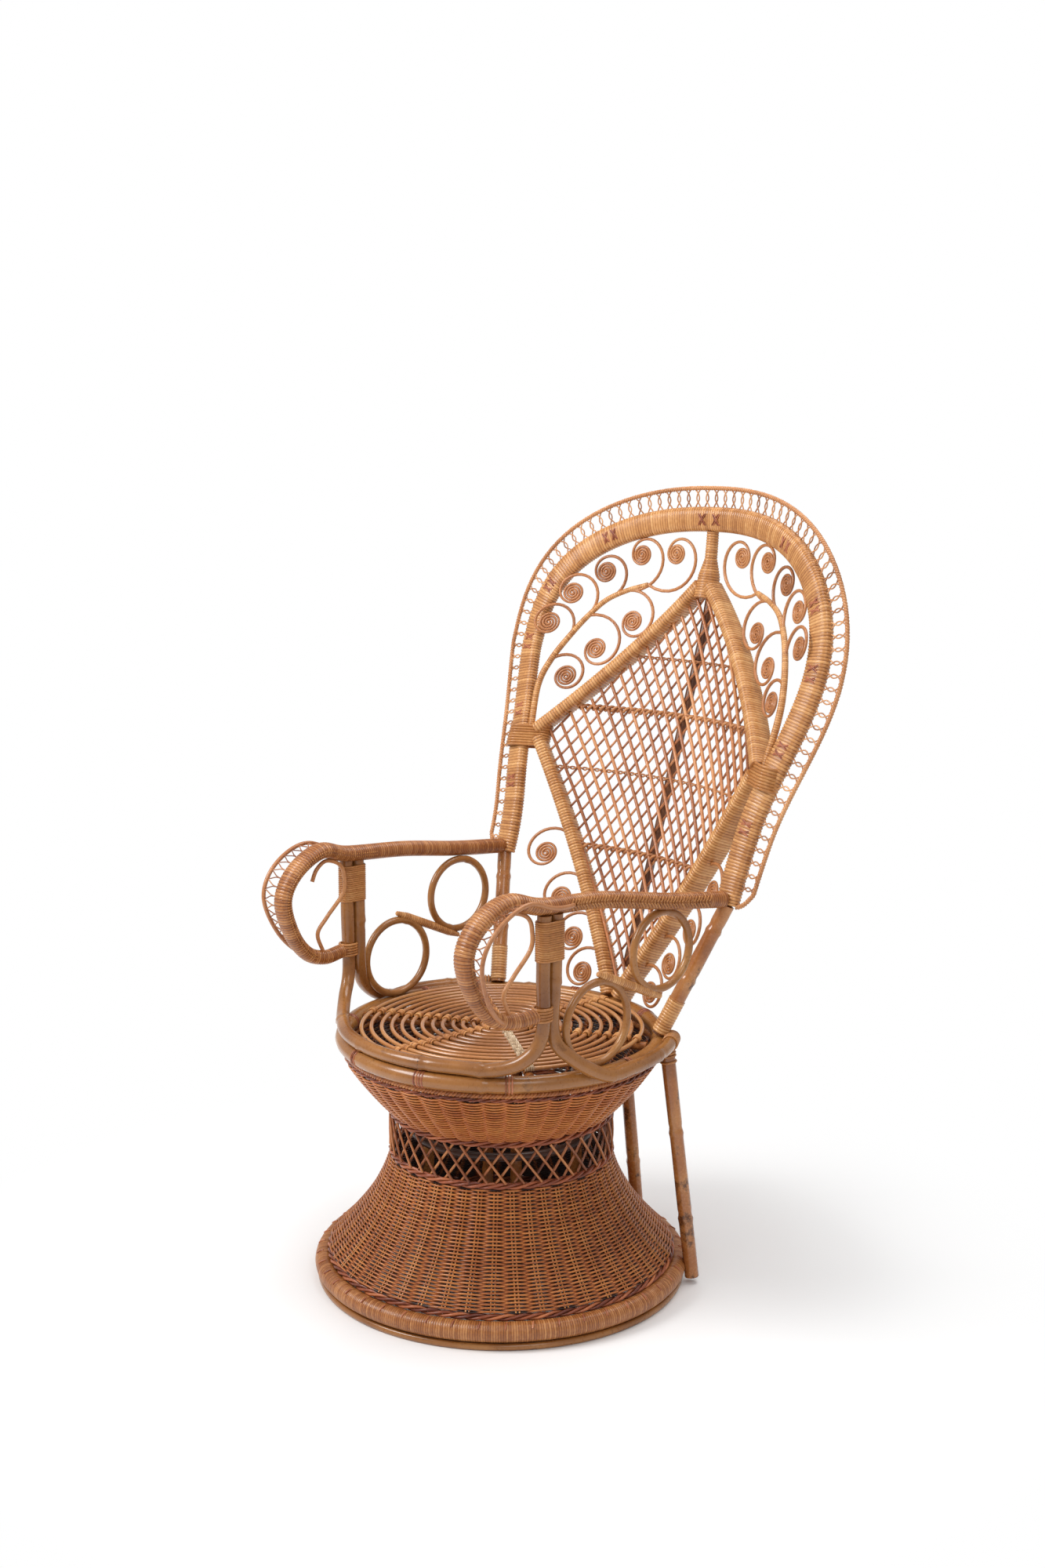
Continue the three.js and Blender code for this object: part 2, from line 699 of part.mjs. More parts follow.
// The trunk and the scrolls of one side are set out from the corner of the kite and the crown of the arch.
const corner = (across, above) => ({ x: kiteCorner.x + across, z: kiteCorner.z + above });
const crown = (x, drop) => ({ x, z: archTop - drop });
const trunk = [
  corner(16, 14),
  corner(22, 86),
  corner(12, 130),
  corner(-9, 172),
  crown(218, 166),
  crown(192, 139),
  crown(158, 122),
  crown(122, 111),
];
const outerScrolls = [
  [crown(280, 180), trunk[3]],
  [crown(252, 129), trunk[4]],
  [crown(201, 92), trunk[5]],
  [crown(140, 62), trunk[6]],
  [crown(73, 58), trunk[7]],
];
const innerScrolls = [
  [corner(-18, 103), trunk[2]],
  [crown(193, 221), trunk[4]],
  [crown(139, 173), trunk[6]],
];
addPair(
  "scroll_tree",
  "rod",
  (grow) => {
    const parts = [cane(trunk.map(({ x, z }) => onBack(x, z)), trunkRadius + grow, 8, 6)];
    for (const [centre, start] of outerScrolls) parts.push(scroll(centre, start, -1, grow));
    for (const [centre, start] of innerScrolls) parts.push(scroll(centre, start, 1, grow));
    return joined(parts);
  },
  ["arch_frame", "kite_upper_SIDE", "kite_lower_SIDE", "kite_binding_SIDE", "apex_post"],
);
const lowerScrolls = [0.58, 0.4, 0.242, 0.106];
const lowerScrollPlace = { across: 43, below: 26 };
lowerScrolls.forEach((share, i) => {
  addPair(
    `lower_scroll_${i + 1}`,
    "rod",
    (grow) => {
      const z = kiteFoot + (kiteCorner.z - kiteFoot) * share;
      const x = kiteInset + (kiteCorner.x - kiteInset) * share;
      const centre = { x: x + lowerScrollPlace.across, z: z - lowerScrollPlace.below };
      return scroll(centre, { x: x + 2, z }, -1, grow);
    },
    ["arch_frame", "kite_lower_SIDE", "upright_SIDE", "seat_hoop"],
  );
});
console.log("scrolls least gap to themselves, mm:", Math.min(...scrollGaps).toFixed(2));

// Lace round the arch: an outer cane on stems that stand on the arch band.
function laceAt(t, out) {
  const here = archPoint(t);
  const before = archPoint(t - 0.01);
  const after = archPoint(t + 0.01);
  const run = Math.hypot(after.x - before.x, after.z - before.z);
  const across = { x: -(after.z - before.z) / run, z: (after.x - before.x) / run };
  return onArch(here.x, here.z).add(vec(across.x * out, 0, across.z * out));
}
add(
  "back_lace",
  "border",
  (grow) => {
    const widthAt = (t) => laceWidth + (laceFootWidth - laceWidth) * Math.max(0, Math.abs(t) - 0.5) * 2;
    const out = (t) => archWidth / 2 + widthAt(t) - laceCaneRadius;
    const places = Array.from({ length: archSteps + 1 }, (_, i) => ((2 * i) / archSteps - 1) * 0.985);
    const edge = places.map((t) => laceAt(t, out(t)));
    const parts = [swept(lengthened(edge, grow), () => section(laceCaneRadius + grow, 4), archFace)];
    for (let i = 0; i < laceStems; i += 1) {
      const t = ((2 * i) / (laceStems - 1) - 1) * 0.975;
      const foot = laceAt(t, archWidth / 2 - jointBite);
      parts.push(cane([foot, laceAt(t, out(t))], laceStemRadius + grow, 1, 4));
    }
    return joined(parts);
  },
  ["arch_frame", "upright_right", "upright_left"],
);

// Arm: a wrapped tube from the arch forward, curling down and back to the post.
const armJointPoint = onArch(armJoint.x, armJoint.z + armRearRise);
const armRear = armJointPoint.clone().add(vec(0, -archDepth / 2, 0));
const armRun = [
  armRear,
  vec(armRear.x - 12, armRear.y - upperRingAhead, armRear.z + 12),
  vec(postX, postY + upperRingAhead, postTop + armRadius - 8),
  vec(postX, postY, postTop + armRadius - jointBite),
  vec(armCrown.x, armCrown.y, armCrown.z),
  vec(armFront.x + 1, armFront.y + 22, armFront.z + 42),
  vec(armFront.x, armFront.y, armFront.z),
  vec(armFront.x + 1, armFront.y + 16, armFront.z - 54),
  vec((armFront.x + armBottom.x) / 2 + 1, armBottom.y - 34, armBottom.z + 12),
  vec(armBottom.x, armBottom.y, armBottom.z),
  vec(postX, postY - rimCaneRadius - 8, armBottom.z + 2),
  vec(postX, postY, armBottom.z + 4),
];
const armCurve = new THREE.CatmullRomCurve3(armRun, false, "centripetal");
const curlSpan = { first: 0.42, last: 0.9 };

// Share of the full width that the arm and its lace have at a place along it: nothing outside the curl.
function curlSwell(t) {
  const share = (t - curlSpan.first) / (curlSpan.last - curlSpan.first);
  return share <= 0 || share >= 1 ? 0 : Math.sin(Math.PI * share) ** 0.7;
}
addPair(
  "arm_rail",
  "wrapped",
  (grow) => {
    const run = lengthened(armCurve.getSpacedPoints(23), grow);
    const sizeAt = (t) => armRadius + (armEndRadius - armRadius) * Math.max(0, (t - 0.6) / 0.4);
    const outline = (t) => {
      const wide = 1 + (armWiden * curlSwell(t)) / armRadius;
      return section(sizeAt(t) + grow, 6).map((point) => new THREE.Vector2(point.x, point.y * wide));
    };
    return swept(run, outline, () => vec(1, 0, 0));
  },
  ["arch_frame", "upright_SIDE", "front_rim_cane", "side_cane_SIDE", "back_lace"],
);

// Lace of the arm: shut along the straight part, it opens round the curl and shuts under it.
addPair(
  "arm_lace",
  "border",
  (grow) => {
    const along = (t) => curlSpan.first + (curlSpan.last - curlSpan.first) * t;
    const swell = (t) => curlSwell(along(t));
    const outside = (t, share) => {
      const open = swell(t) * share;
      const outward = armCurve.getTangentAt(along(t)).cross(vec(1, 0, 0)).setLength(armLaceFlare * open);
      const reach = armRadius - 2 + armWiden * swell(t) + armLaceWidth * open;
      return armCurve.getPointAt(along(t)).add(outward).add(vec(reach, 0, 0));
    };
    const edge = Array.from({ length: 17 }, (_, i) => outside(i / 16, 1));
    const parts = [swept(edge, () => section(laceCaneRadius - 0.5 + grow, 4), () => vec(1, 0, 0))];
    for (let i = 1; i <= armLaceStems; i += 1) {
      const t = i / (armLaceStems + 1);
      parts.push(cane([outside(t, -0.1), outside(t, 1)], laceStemRadius + grow, 1, 4));
    }
    return joined(parts);
  },
  ["arm_rail_SIDE", "front_rim_cane", "side_cane_SIDE"],
);

// Inside the curl of the arm stands an S-shaped rod; two cane rings and a wrapped link fill the side.
addPair(
  "arm_s_scroll",
  "rod",
  (grow) => {
    const side = postY - rimCaneRadius - sScrollRadius + jointBite - armCrown.y;
    const upper = [[-15, -46], [-2, -30], [14, -22], [30, -25]];
    const lower = [[side, -44], [side - 2, -72], [12, -106], [-6, -130]];
    const run = [...upper, ...lower].map(([y, z]) => vec(armCrown.x, armCrown.y + y, armCrown.z + z));
    run.push(vec(armCrown.x, armCrown.y + 4, armBottom.z + armEndRadius - jointBite));
    run.splice(2, 0, vec(armCrown.x, armCrown.y + 7, armCrown.z - armRadius - sScrollRadius + jointBite));
    return cane(run, sScrollRadius + grow, 17, 4, grow);
  },
  ["arm_rail_SIDE", "front_rim_cane"],
);
const armRingPlane = seatHoopRadius - armRingInset;
const lowerRingRise = seatHoopSection + armRingSection + lowerRingRadius - 2 * jointBite;
const lowerRing = { y: -lowerRingAhead, z: seatHeight + lowerRingRise, radius: lowerRingRadius };
const upperRingDrop = armRadius + armRingSection + upperRingRadius - jointBite;
const upperRing = { y: armRun[1].y, z: armRun[1].z - upperRingDrop, radius: upperRingRadius };
function armRing({ y, z, radius }, grow) {
  const points = section(armRingSection + grow, 6);
  points.forEach((point) => point.setX(radius + point.x));
  points.push(points[0].clone());
  const geometry = new THREE.LatheGeometry(points, 15);
  geometry.rotateZ(Math.PI / 2);
  geometry.translate(armRingPlane, y, z);
  return solidOf(geometry);
}
addPair(
  "lower_arm_ring",
  "cane",
  (grow) => armRing(lowerRing, grow),
  ["seat_hoop", "side_cane_SIDE", "front_rim_cane"],
);
addPair(
  "upper_arm_ring",
  "cane",
  (grow) => armRing(upperRing, grow),
  ["arm_rail_SIDE", "upright_SIDE", "lower_arm_ring_SIDE"],
);
addPair(
  "ring_link",
  "wrapped",
  (grow) => {
    const bite = armRingSection + linkRadius - jointBite;
    const from = vec(armRingPlane, lowerRing.y, lowerRing.z + lowerRing.radius + bite);
    const to = vec(armRingPlane, upperRing.y, upperRing.z - upperRing.radius - bite);
    return cane([from, to], linkRadius + grow, 1, 8, grow);
  },
  ["lower_arm_ring_SIDE", "upper_arm_ring_SIDE"],
);

// Wrapped sleeve that ties the two canes of a post under the arm.
addPair(
  "post_binding",
  "wrapped",
  (grow) => {
    const size = rimCaneRadius + bindingWall + grow;
    const middle = vec(postX + postLean * 0.9, postY + postGap / 2, 0);
    const ends = [postTop - bindingLength - grow, postTop - 8 + grow];
    const rows = ends.map((z) =>
      section(size, 12).map((point) => {
        const shift = (Math.sign(Math.round(point.y)) * postGap) / 2;
        return vec(middle.x + point.x, middle.y + point.y + shift, z);
      }),
    );
    return loft(rows);
  },
  ["front_rim_cane", "side_cane_SIDE", "arm_rail_SIDE", "arm_s_scroll_SIDE"],
);

// The origin goes to the middle of the object's box, on the floor.
const bounds = new THREE.Box3();
for (const { solid } of pieces.values()) {
  const { min, max } = solid.boundingBox();
  bounds.expandByPoint(vec(...min));
  bounds.expandByPoint(vec(...max));
}
const middle = bounds.getCenter(vec(0, 0, 0));
for (const [name, { solid, finish }] of pieces) {
  const mesh = solid.getMesh();
  const geometry = new THREE.BufferGeometry();
  geometry.setAttribute("position", new THREE.Float32BufferAttribute(mesh.vertProperties, 3));
  geometry.setIndex(new THREE.Uint32BufferAttribute(mesh.triVerts, 1));
  geometry.translate(-middle.x, -middle.y, -bounds.min.z);
  const material = new THREE.MeshStandardMaterial({ ...finishes[finish], metalness: 0 });
  const node = new THREE.Mesh(geometry, material);
  node.name = name;
  chair.add(node);
}

export default chair;
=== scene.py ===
"""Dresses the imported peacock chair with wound, wrapped and woven cane, and sets its light and camera."""

import logging
import math
from dataclasses import dataclass, field
from enum import Enum
from typing import Iterable, Optional, Sequence

import bpy
import numpy as np
from mathutils import Matrix, Vector
from mathutils.kdtree import KDTree

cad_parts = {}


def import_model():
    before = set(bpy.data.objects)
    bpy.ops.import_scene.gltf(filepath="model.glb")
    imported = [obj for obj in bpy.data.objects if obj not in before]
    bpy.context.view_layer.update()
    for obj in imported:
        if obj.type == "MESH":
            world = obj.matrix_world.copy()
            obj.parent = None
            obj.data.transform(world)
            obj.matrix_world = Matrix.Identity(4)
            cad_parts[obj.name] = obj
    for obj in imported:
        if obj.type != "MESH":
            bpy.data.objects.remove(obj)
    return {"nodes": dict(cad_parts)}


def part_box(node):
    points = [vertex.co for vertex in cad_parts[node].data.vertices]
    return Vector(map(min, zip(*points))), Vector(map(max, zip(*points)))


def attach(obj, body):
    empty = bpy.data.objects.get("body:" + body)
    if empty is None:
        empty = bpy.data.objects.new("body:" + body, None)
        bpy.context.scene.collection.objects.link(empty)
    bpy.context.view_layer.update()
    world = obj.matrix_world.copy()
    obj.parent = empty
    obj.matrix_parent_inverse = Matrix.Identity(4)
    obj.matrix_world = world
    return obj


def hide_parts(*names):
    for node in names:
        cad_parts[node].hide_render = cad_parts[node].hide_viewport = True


logging.basicConfig(level=logging.INFO, format="%(message)s")
LOG = logging.getLogger("peacock_chair")
MM = 0.001
TAU = 2 * math.pi
UP = np.array([0.0, 0.0, 1.0])

Numbers = float | np.ndarray
Tint = tuple[int, int, int]
Colour = tuple[float, float, float]
Pair = tuple[float, float]
Triple = tuple[float, float, float]


class Slot(Enum):
    """Material slots of the record."""

    WRAPPED = "wrapped_cane"
    BARE = "bare_cane"
    ROD = "thin_rod"
    BRAID = "braid"
    WEAVE = "weave"


class Side(Enum):
    """Side of the chair, with the sign of its X."""

    RIGHT = 1
    LEFT = -1

    @property
    def tag(self) -> str:
        """Name ending of the side's pieces."""
        return self.name.lower()


@dataclass(frozen=True)
class Strand:
    """A round strand along points in millimetres, with one radius or a radius for each point."""

    points: np.ndarray
    radius: Numbers
    closed: bool = False

    def mirrored(self, side: Side) -> "Strand":
        """Gives the strand, which is written for the right, on a side of the chair."""
        return Strand(self.points * np.array([side.value, 1.0, 1.0]), self.radius, self.closed)


class Path:
    """Builders of point runs, all in millimetres."""

    DENSE = 24

    @staticmethod
    def smooth(points: Sequence[Sequence[float]], step: float) -> np.ndarray:
        """Runs a Catmull-Rom curve through points and resamples it evenly.

        Args:
            points: The points that the curve passes.
            step: Spacing of the result along the curve.

        Returns:
            The resampled points.
        """
        knots = np.asarray(points, float)
        padded = np.vstack([2 * knots[0] - knots[1], knots, 2 * knots[-1] - knots[-2]])
        t = np.linspace(0, 1, Path.DENSE, endpoint=False)[:, None]
        runs = []
        for a, b, c, d in zip(padded, padded[1:], padded[2:], padded[3:]):
            runs.append(0.5 * (2 * b + (c - a) * t + (2 * a - 5 * b + 4 * c - d) * t**2
                               + (3 * b - a - 3 * c + d) * t**3))
        return Path.spaced(np.vstack(runs + [knots[-1:]]), step)

    @staticmethod
    def lengths(points: np.ndarray) -> np.ndarray:
        """Gives the length of a run up to each of its points."""
        return np.concatenate([[0], np.cumsum(np.linalg.norm(np.diff(points, axis=0), axis=1))])

    @staticmethod
    def between(places: np.ndarray, along: np.ndarray, values: np.ndarray) -> np.ndarray:
        """Gives rows of three values at places among those where they are known."""
        return np.stack([np.interp(places, along, values[:, k]) for k in range(3)], 1)

    @staticmethod
    def spaced(points: np.ndarray, step: float, closed: bool = False) -> np.ndarray:
        """Resamples a run of points evenly.

        Args:
            points: The run; a closed one repeats its first point at the end.
            step: Wanted spacing.
            closed: Whether to drop the repeated last point.

        Returns:
            The resampled points.
        """
        along = Path.lengths(points)
        count = max(2, int(round(along[-1] / step)) + 1)
        out = Path.between(np.linspace(0, along[-1], count), along, points)
        return out[:-1] if closed else out

    @staticmethod
    def circle(radius: float, height: float, count: int) -> np.ndarray:
        """Gives a level circle about Z, without a repeated end.

        Args:
            radius: Its radius.
            height: Its height.
            count: Number of points.

        Returns:
            The points.
        """
        angle = np.linspace(0, TAU, count, endpoint=False)
        return np.stack([radius * np.sin(angle), -radius * np.cos(angle), np.full(count, height)], 1)

    @staticmethod
    def share(points: np.ndarray, place: np.ndarray) -> float:
        """Gives where along a run a place lies nearest, as a share of it."""
        return float(np.argmin(np.linalg.norm(points - place, axis=1)) / (len(points) - 1))

    @staticmethod
    def frames(points: np.ndarray, up: np.ndarray) -> tuple[np.ndarray, np.ndarray, np.ndarray]:
        """Gives unit vectors along a run, across it and out of it.

        Args:
            points: The run.
            up: Vector that the third result leans to.

        Returns:
            Along, across and out vectors for each point.
        """
        along = np.gradient(points, axis=0)
        along /= np.linalg.norm(along, axis=1, keepdims=True)
        across = np.cross(along, up)
        across /= np.linalg.norm(across, axis=1, keepdims=True)
        return along, across, np.cross(across, along)


class Winding:
    """Builders of strands that are wrapped, twisted or jointed along a run."""

    # Points in one turn of a strip, and how high its middle stands as a share of the groove's depth.
    STEPS, CREST = 4, 0.18
    # A cane's slow change of thickness along it, as a share of its radius.
    SWAY, SWAY_LENGTH = 0.02, 47.0
    # The swelling at a cane's node and the neck beside it, in shares of the radius and of the node's length.
    NODE_LENGTH, NODE_SWELL = 4.0, 0.1
    NECK_PLACE, NECK_DEPTH = 2.2, 0.07
    # A direction that no run of the chair follows.
    ASLANT = np.array([0.31, 0.17, 0.93])
    RING_POINTS, LOOP_POINTS = 20, 32

    @staticmethod
    def wrapped(points: np.ndarray, radius: Numbers, pitch: float, depth: float,
                closed: bool = False) -> Strand:
        """Gives a tube with the ridges of a cane strip wound round it.

        Args:
            points: The run.
            radius: Radius of the tube, or radii spread over its length.
            pitch: Width of the strip.
            depth: Depth of the groove between two turns.
            closed: Whether the run is a ring.

        Returns:
            The ridged strand.
        """
        run = np.vstack([points, points[:1]]) if closed else points
        run = Path.spaced(run, pitch / Winding.STEPS, closed)
        given = np.atleast_1d(np.asarray(radius, float))
        base = np.interp(np.linspace(0, 1, len(run)), np.linspace(0, 1, len(given)), given)
        ridge = np.array([-depth, 0.0, Winding.CREST * depth, 0.0])
        return Strand(run, base + ridge[np.arange(len(run)) % Winding.STEPS], closed)

    @staticmethod
    def twisted(points: np.ndarray, up: np.ndarray, strands: int, reach: float, size: float, pitch: float,
                closed: bool = False) -> list[Strand]:
        """Gives strands laid round a run like a rope.

        Args:
            points: The run, in short steps.
            up: Vector out of the run.
            strands: Number of strands.
            reach: Distance of a strand's middle from the run.
            size: Radius of a strand.
            pitch: Length of one turn.
            closed: Whether the run is a ring.

        Returns:
            The strands.
        """
        run = np.vstack([points, points[:1]]) if closed else points
        along = Path.lengths(run)
        turns = max(1, round(along[-1] / pitch))
        _, across, out = Path.frames(run, up)
        made = []
        for k in range(strands):
            angle = (along / along[-1] * turns + k / strands) * TAU
            line = run + reach * (np.cos(angle)[:, None] * across + np.sin(angle)[:, None] * out)
            made.append(Strand(line[:-1] if closed else line, size, closed))
        return made

    @staticmethod
    def cane(points: np.ndarray, radius: float, nodes: Sequence[float] = (), closed: bool = False) -> Strand:
        """Gives a bare cane with swellings, and a neck beside each, where its leaves grew.

        Args:
            points: The run, in short steps.
            radius: Radius of the cane.
            nodes: Shares of the length at which a swelling lies.
            closed: Whether the run is a ring.

        Returns:
            The strand.
        """
        along = Path.lengths(points)
        size = radius * (1 + Winding.SWAY * np.sin(along / Winding.SWAY_LENGTH))
        for share in nodes:
            away = (along - share * along[-1]) / Winding.NODE_LENGTH
            size += radius * Winding.NODE_SWELL * np.exp(-away**2)
            size -= radius * Winding.NECK_DEPTH * np.exp(-((away - Winding.NECK_PLACE) ** 2))
        return Strand(points, size, closed)

    @staticmethod
    def rings(points: np.ndarray, radius: float, shares: Sequence[float], size: float) -> list[Strand]:
        """Gives thin closed rings round a run, as at a cane's nodes or a tie.

        Args:
            points: The run, in short steps.
            radius: Radius of the rings.
            shares: Places along the run, as shares of it.
            size: Radius of the rings' own strand.

        Returns:
            The rings.
        """
        _, across, out = Path.frames(points, Winding.ASLANT)
        angle = np.linspace(0, TAU, Winding.RING_POINTS, endpoint=False)[:, None]
        made = []
        for share in shares:
            i = min(len(points) - 1, int(round(share * (len(points) - 1))))
            ring = points[i] + radius * (np.cos(angle) * across[i] + np.sin(angle) * out[i])
            made.append(Strand(ring, size, True))
        return made

    @staticmethod
    def loops(middle: np.ndarray, half: np.ndarray, round_by: np.ndarray, rise: np.ndarray, count: int,
              size: float) -> list[Strand]:
        """Gives a stack of long loops, as of a strip bound round two canes.

        Args:
            middle: Middle of the stack.
            half: Vector from the middle to the centre of one end.
            round_by: Vector that gives the loops' half thickness, square to half.
            rise: Vector from one loop to the next.
            count: Number of loops.
            size: Radius of the strip.

        Returns:
            The loops.
        """
        end = half / np.linalg.norm(half) * np.linalg.norm(round_by)
        angle = np.linspace(0, TAU, Winding.LOOP_POINTS, endpoint=False)[:, None]
        outline = np.cos(angle) * end + np.sin(angle) * round_by + np.sign(np.cos(angle)) * half
        return [Strand(middle + outline + rise * (k - (count - 1) / 2), size, True) for k in range(count)]


@dataclass(frozen=True, eq=False)
class Sock:
    """A shader socket that takes part in sums and products."""

    graph: "Graph"
    socket: bpy.types.NodeSocket

    def _math(self, operation: str, first: object, second: object) -> "Sock":
        """Joins two values or sockets by a Math node."""
        return self.graph.node("ShaderNodeMath", inputs={0: first, 1: second}, operation=operation)

    def __add__(self, other: object) -> "Sock":
        """Adds a value or socket to this one."""
        return self._math("ADD", self, other)

    def __radd__(self, other: object) -> "Sock":
        """Adds this socket to a value."""
        return self._math("ADD", other, self)

    def __sub__(self, other: object) -> "Sock":
        """Takes a value or socket from this one."""
        return self._math("SUBTRACT", self, other)

    def __rsub__(self, other: object) -> "Sock":
        """Takes this socket from a value."""
        return self._math("SUBTRACT", other, self)

    def __mul__(self, other: object) -> "Sock":
        """Multiplies this socket by a value or socket."""
        return self._math("MULTIPLY", self, other)

    def __rmul__(self, other: object) -> "Sock":
        """Multiplies a value by this socket."""
        return self._math("MULTIPLY", other, self)

    def power(self, other: float) -> "Sock":
        """Raises the value to a power."""
        return self._math("POWER", self, other)

    def floor(self) -> "Sock":
        """Drops the fraction of the value."""
        return self._math("FLOOR", self, 0.0)

    def most(self, other: float) -> "Sock":
        """Gives the greater of the value and another."""
        return self._math("MAXIMUM", self, other)

    def least(self, other: float) -> "Sock":
        """Gives the lesser of the value and another."""
        return self._math("MINIMUM", self, other)

    def cosine(self) -> "Sock":
        """Gives the cosine of the value, in radians."""
        return self._math("COSINE", self, 0.0)


@dataclass(frozen=True, eq=False)
class Graph:
    """The node tree of a material or a world."""

    tree: bpy.types.NodeTree

    @classmethod
    def of(cls, owner: bpy.types.ID) -> "Graph":
        """Starts an empty graph.

        Args:
            owner: The material or world that the graph belongs to.

        Returns:
            The graph.
        """
        owner.use_nodes = True
        owner.node_tree.nodes.clear()
        return cls(owner.node_tree)

    def node(self, kind: str, output: int | str = 0, inputs: Optional[dict] = None,
             **settings: object) -> Optional[Sock]:
        """Makes one node.

        Args:
            kind: The node's type.
            output: Name or index of the output that is wanted.
            inputs: Values or sockets for the inputs, by name or index.
            settings: Properties of the node, or a ramp's stops as places and colours in order.

        Returns:
            The wanted output, or None from a node that has none.
        """
        made = self.tree.nodes.new(kind)
        for key, value in settings.items():
            if key == "stops":
                self._stops(made.color_ramp.elements, value)
            else:
                setattr(made, key, value)
        for key, value in (inputs or {}).items():
            if isinstance(value, Sock):
                self.tree.links.new(value.socket, made.inputs[key])
            else:
                made.inputs[key].default_value = value
        return Sock(self, made.outputs[output]) if len(made.outputs) else None

    @staticmethod
    def _stops(elements: bpy.types.ColorRampElements, stops: Sequence[tuple[float, Colour]]) -> None:
        """Sets the stops of a ramp.

        Args:
            elements: The ramp's own stops, two at first.
            stops: Places and colours, in order.
        """
        while len(elements) < len(stops):
            elements.new(0.5)
        for element, (place, colour) in zip(elements, stops):
            element.position = place
            element.color = (*colour, 1.0)


def linear(red: int, green: int, blue: int) -> Colour:
    """Turns a display colour into the linear one that shaders take."""
    return tuple((c / 255 / 12.92) if c / 255 <= 0.04045 else ((c / 255 + 0.055) / 1.055) ** 2.4
                 for c in (red, green, blue))


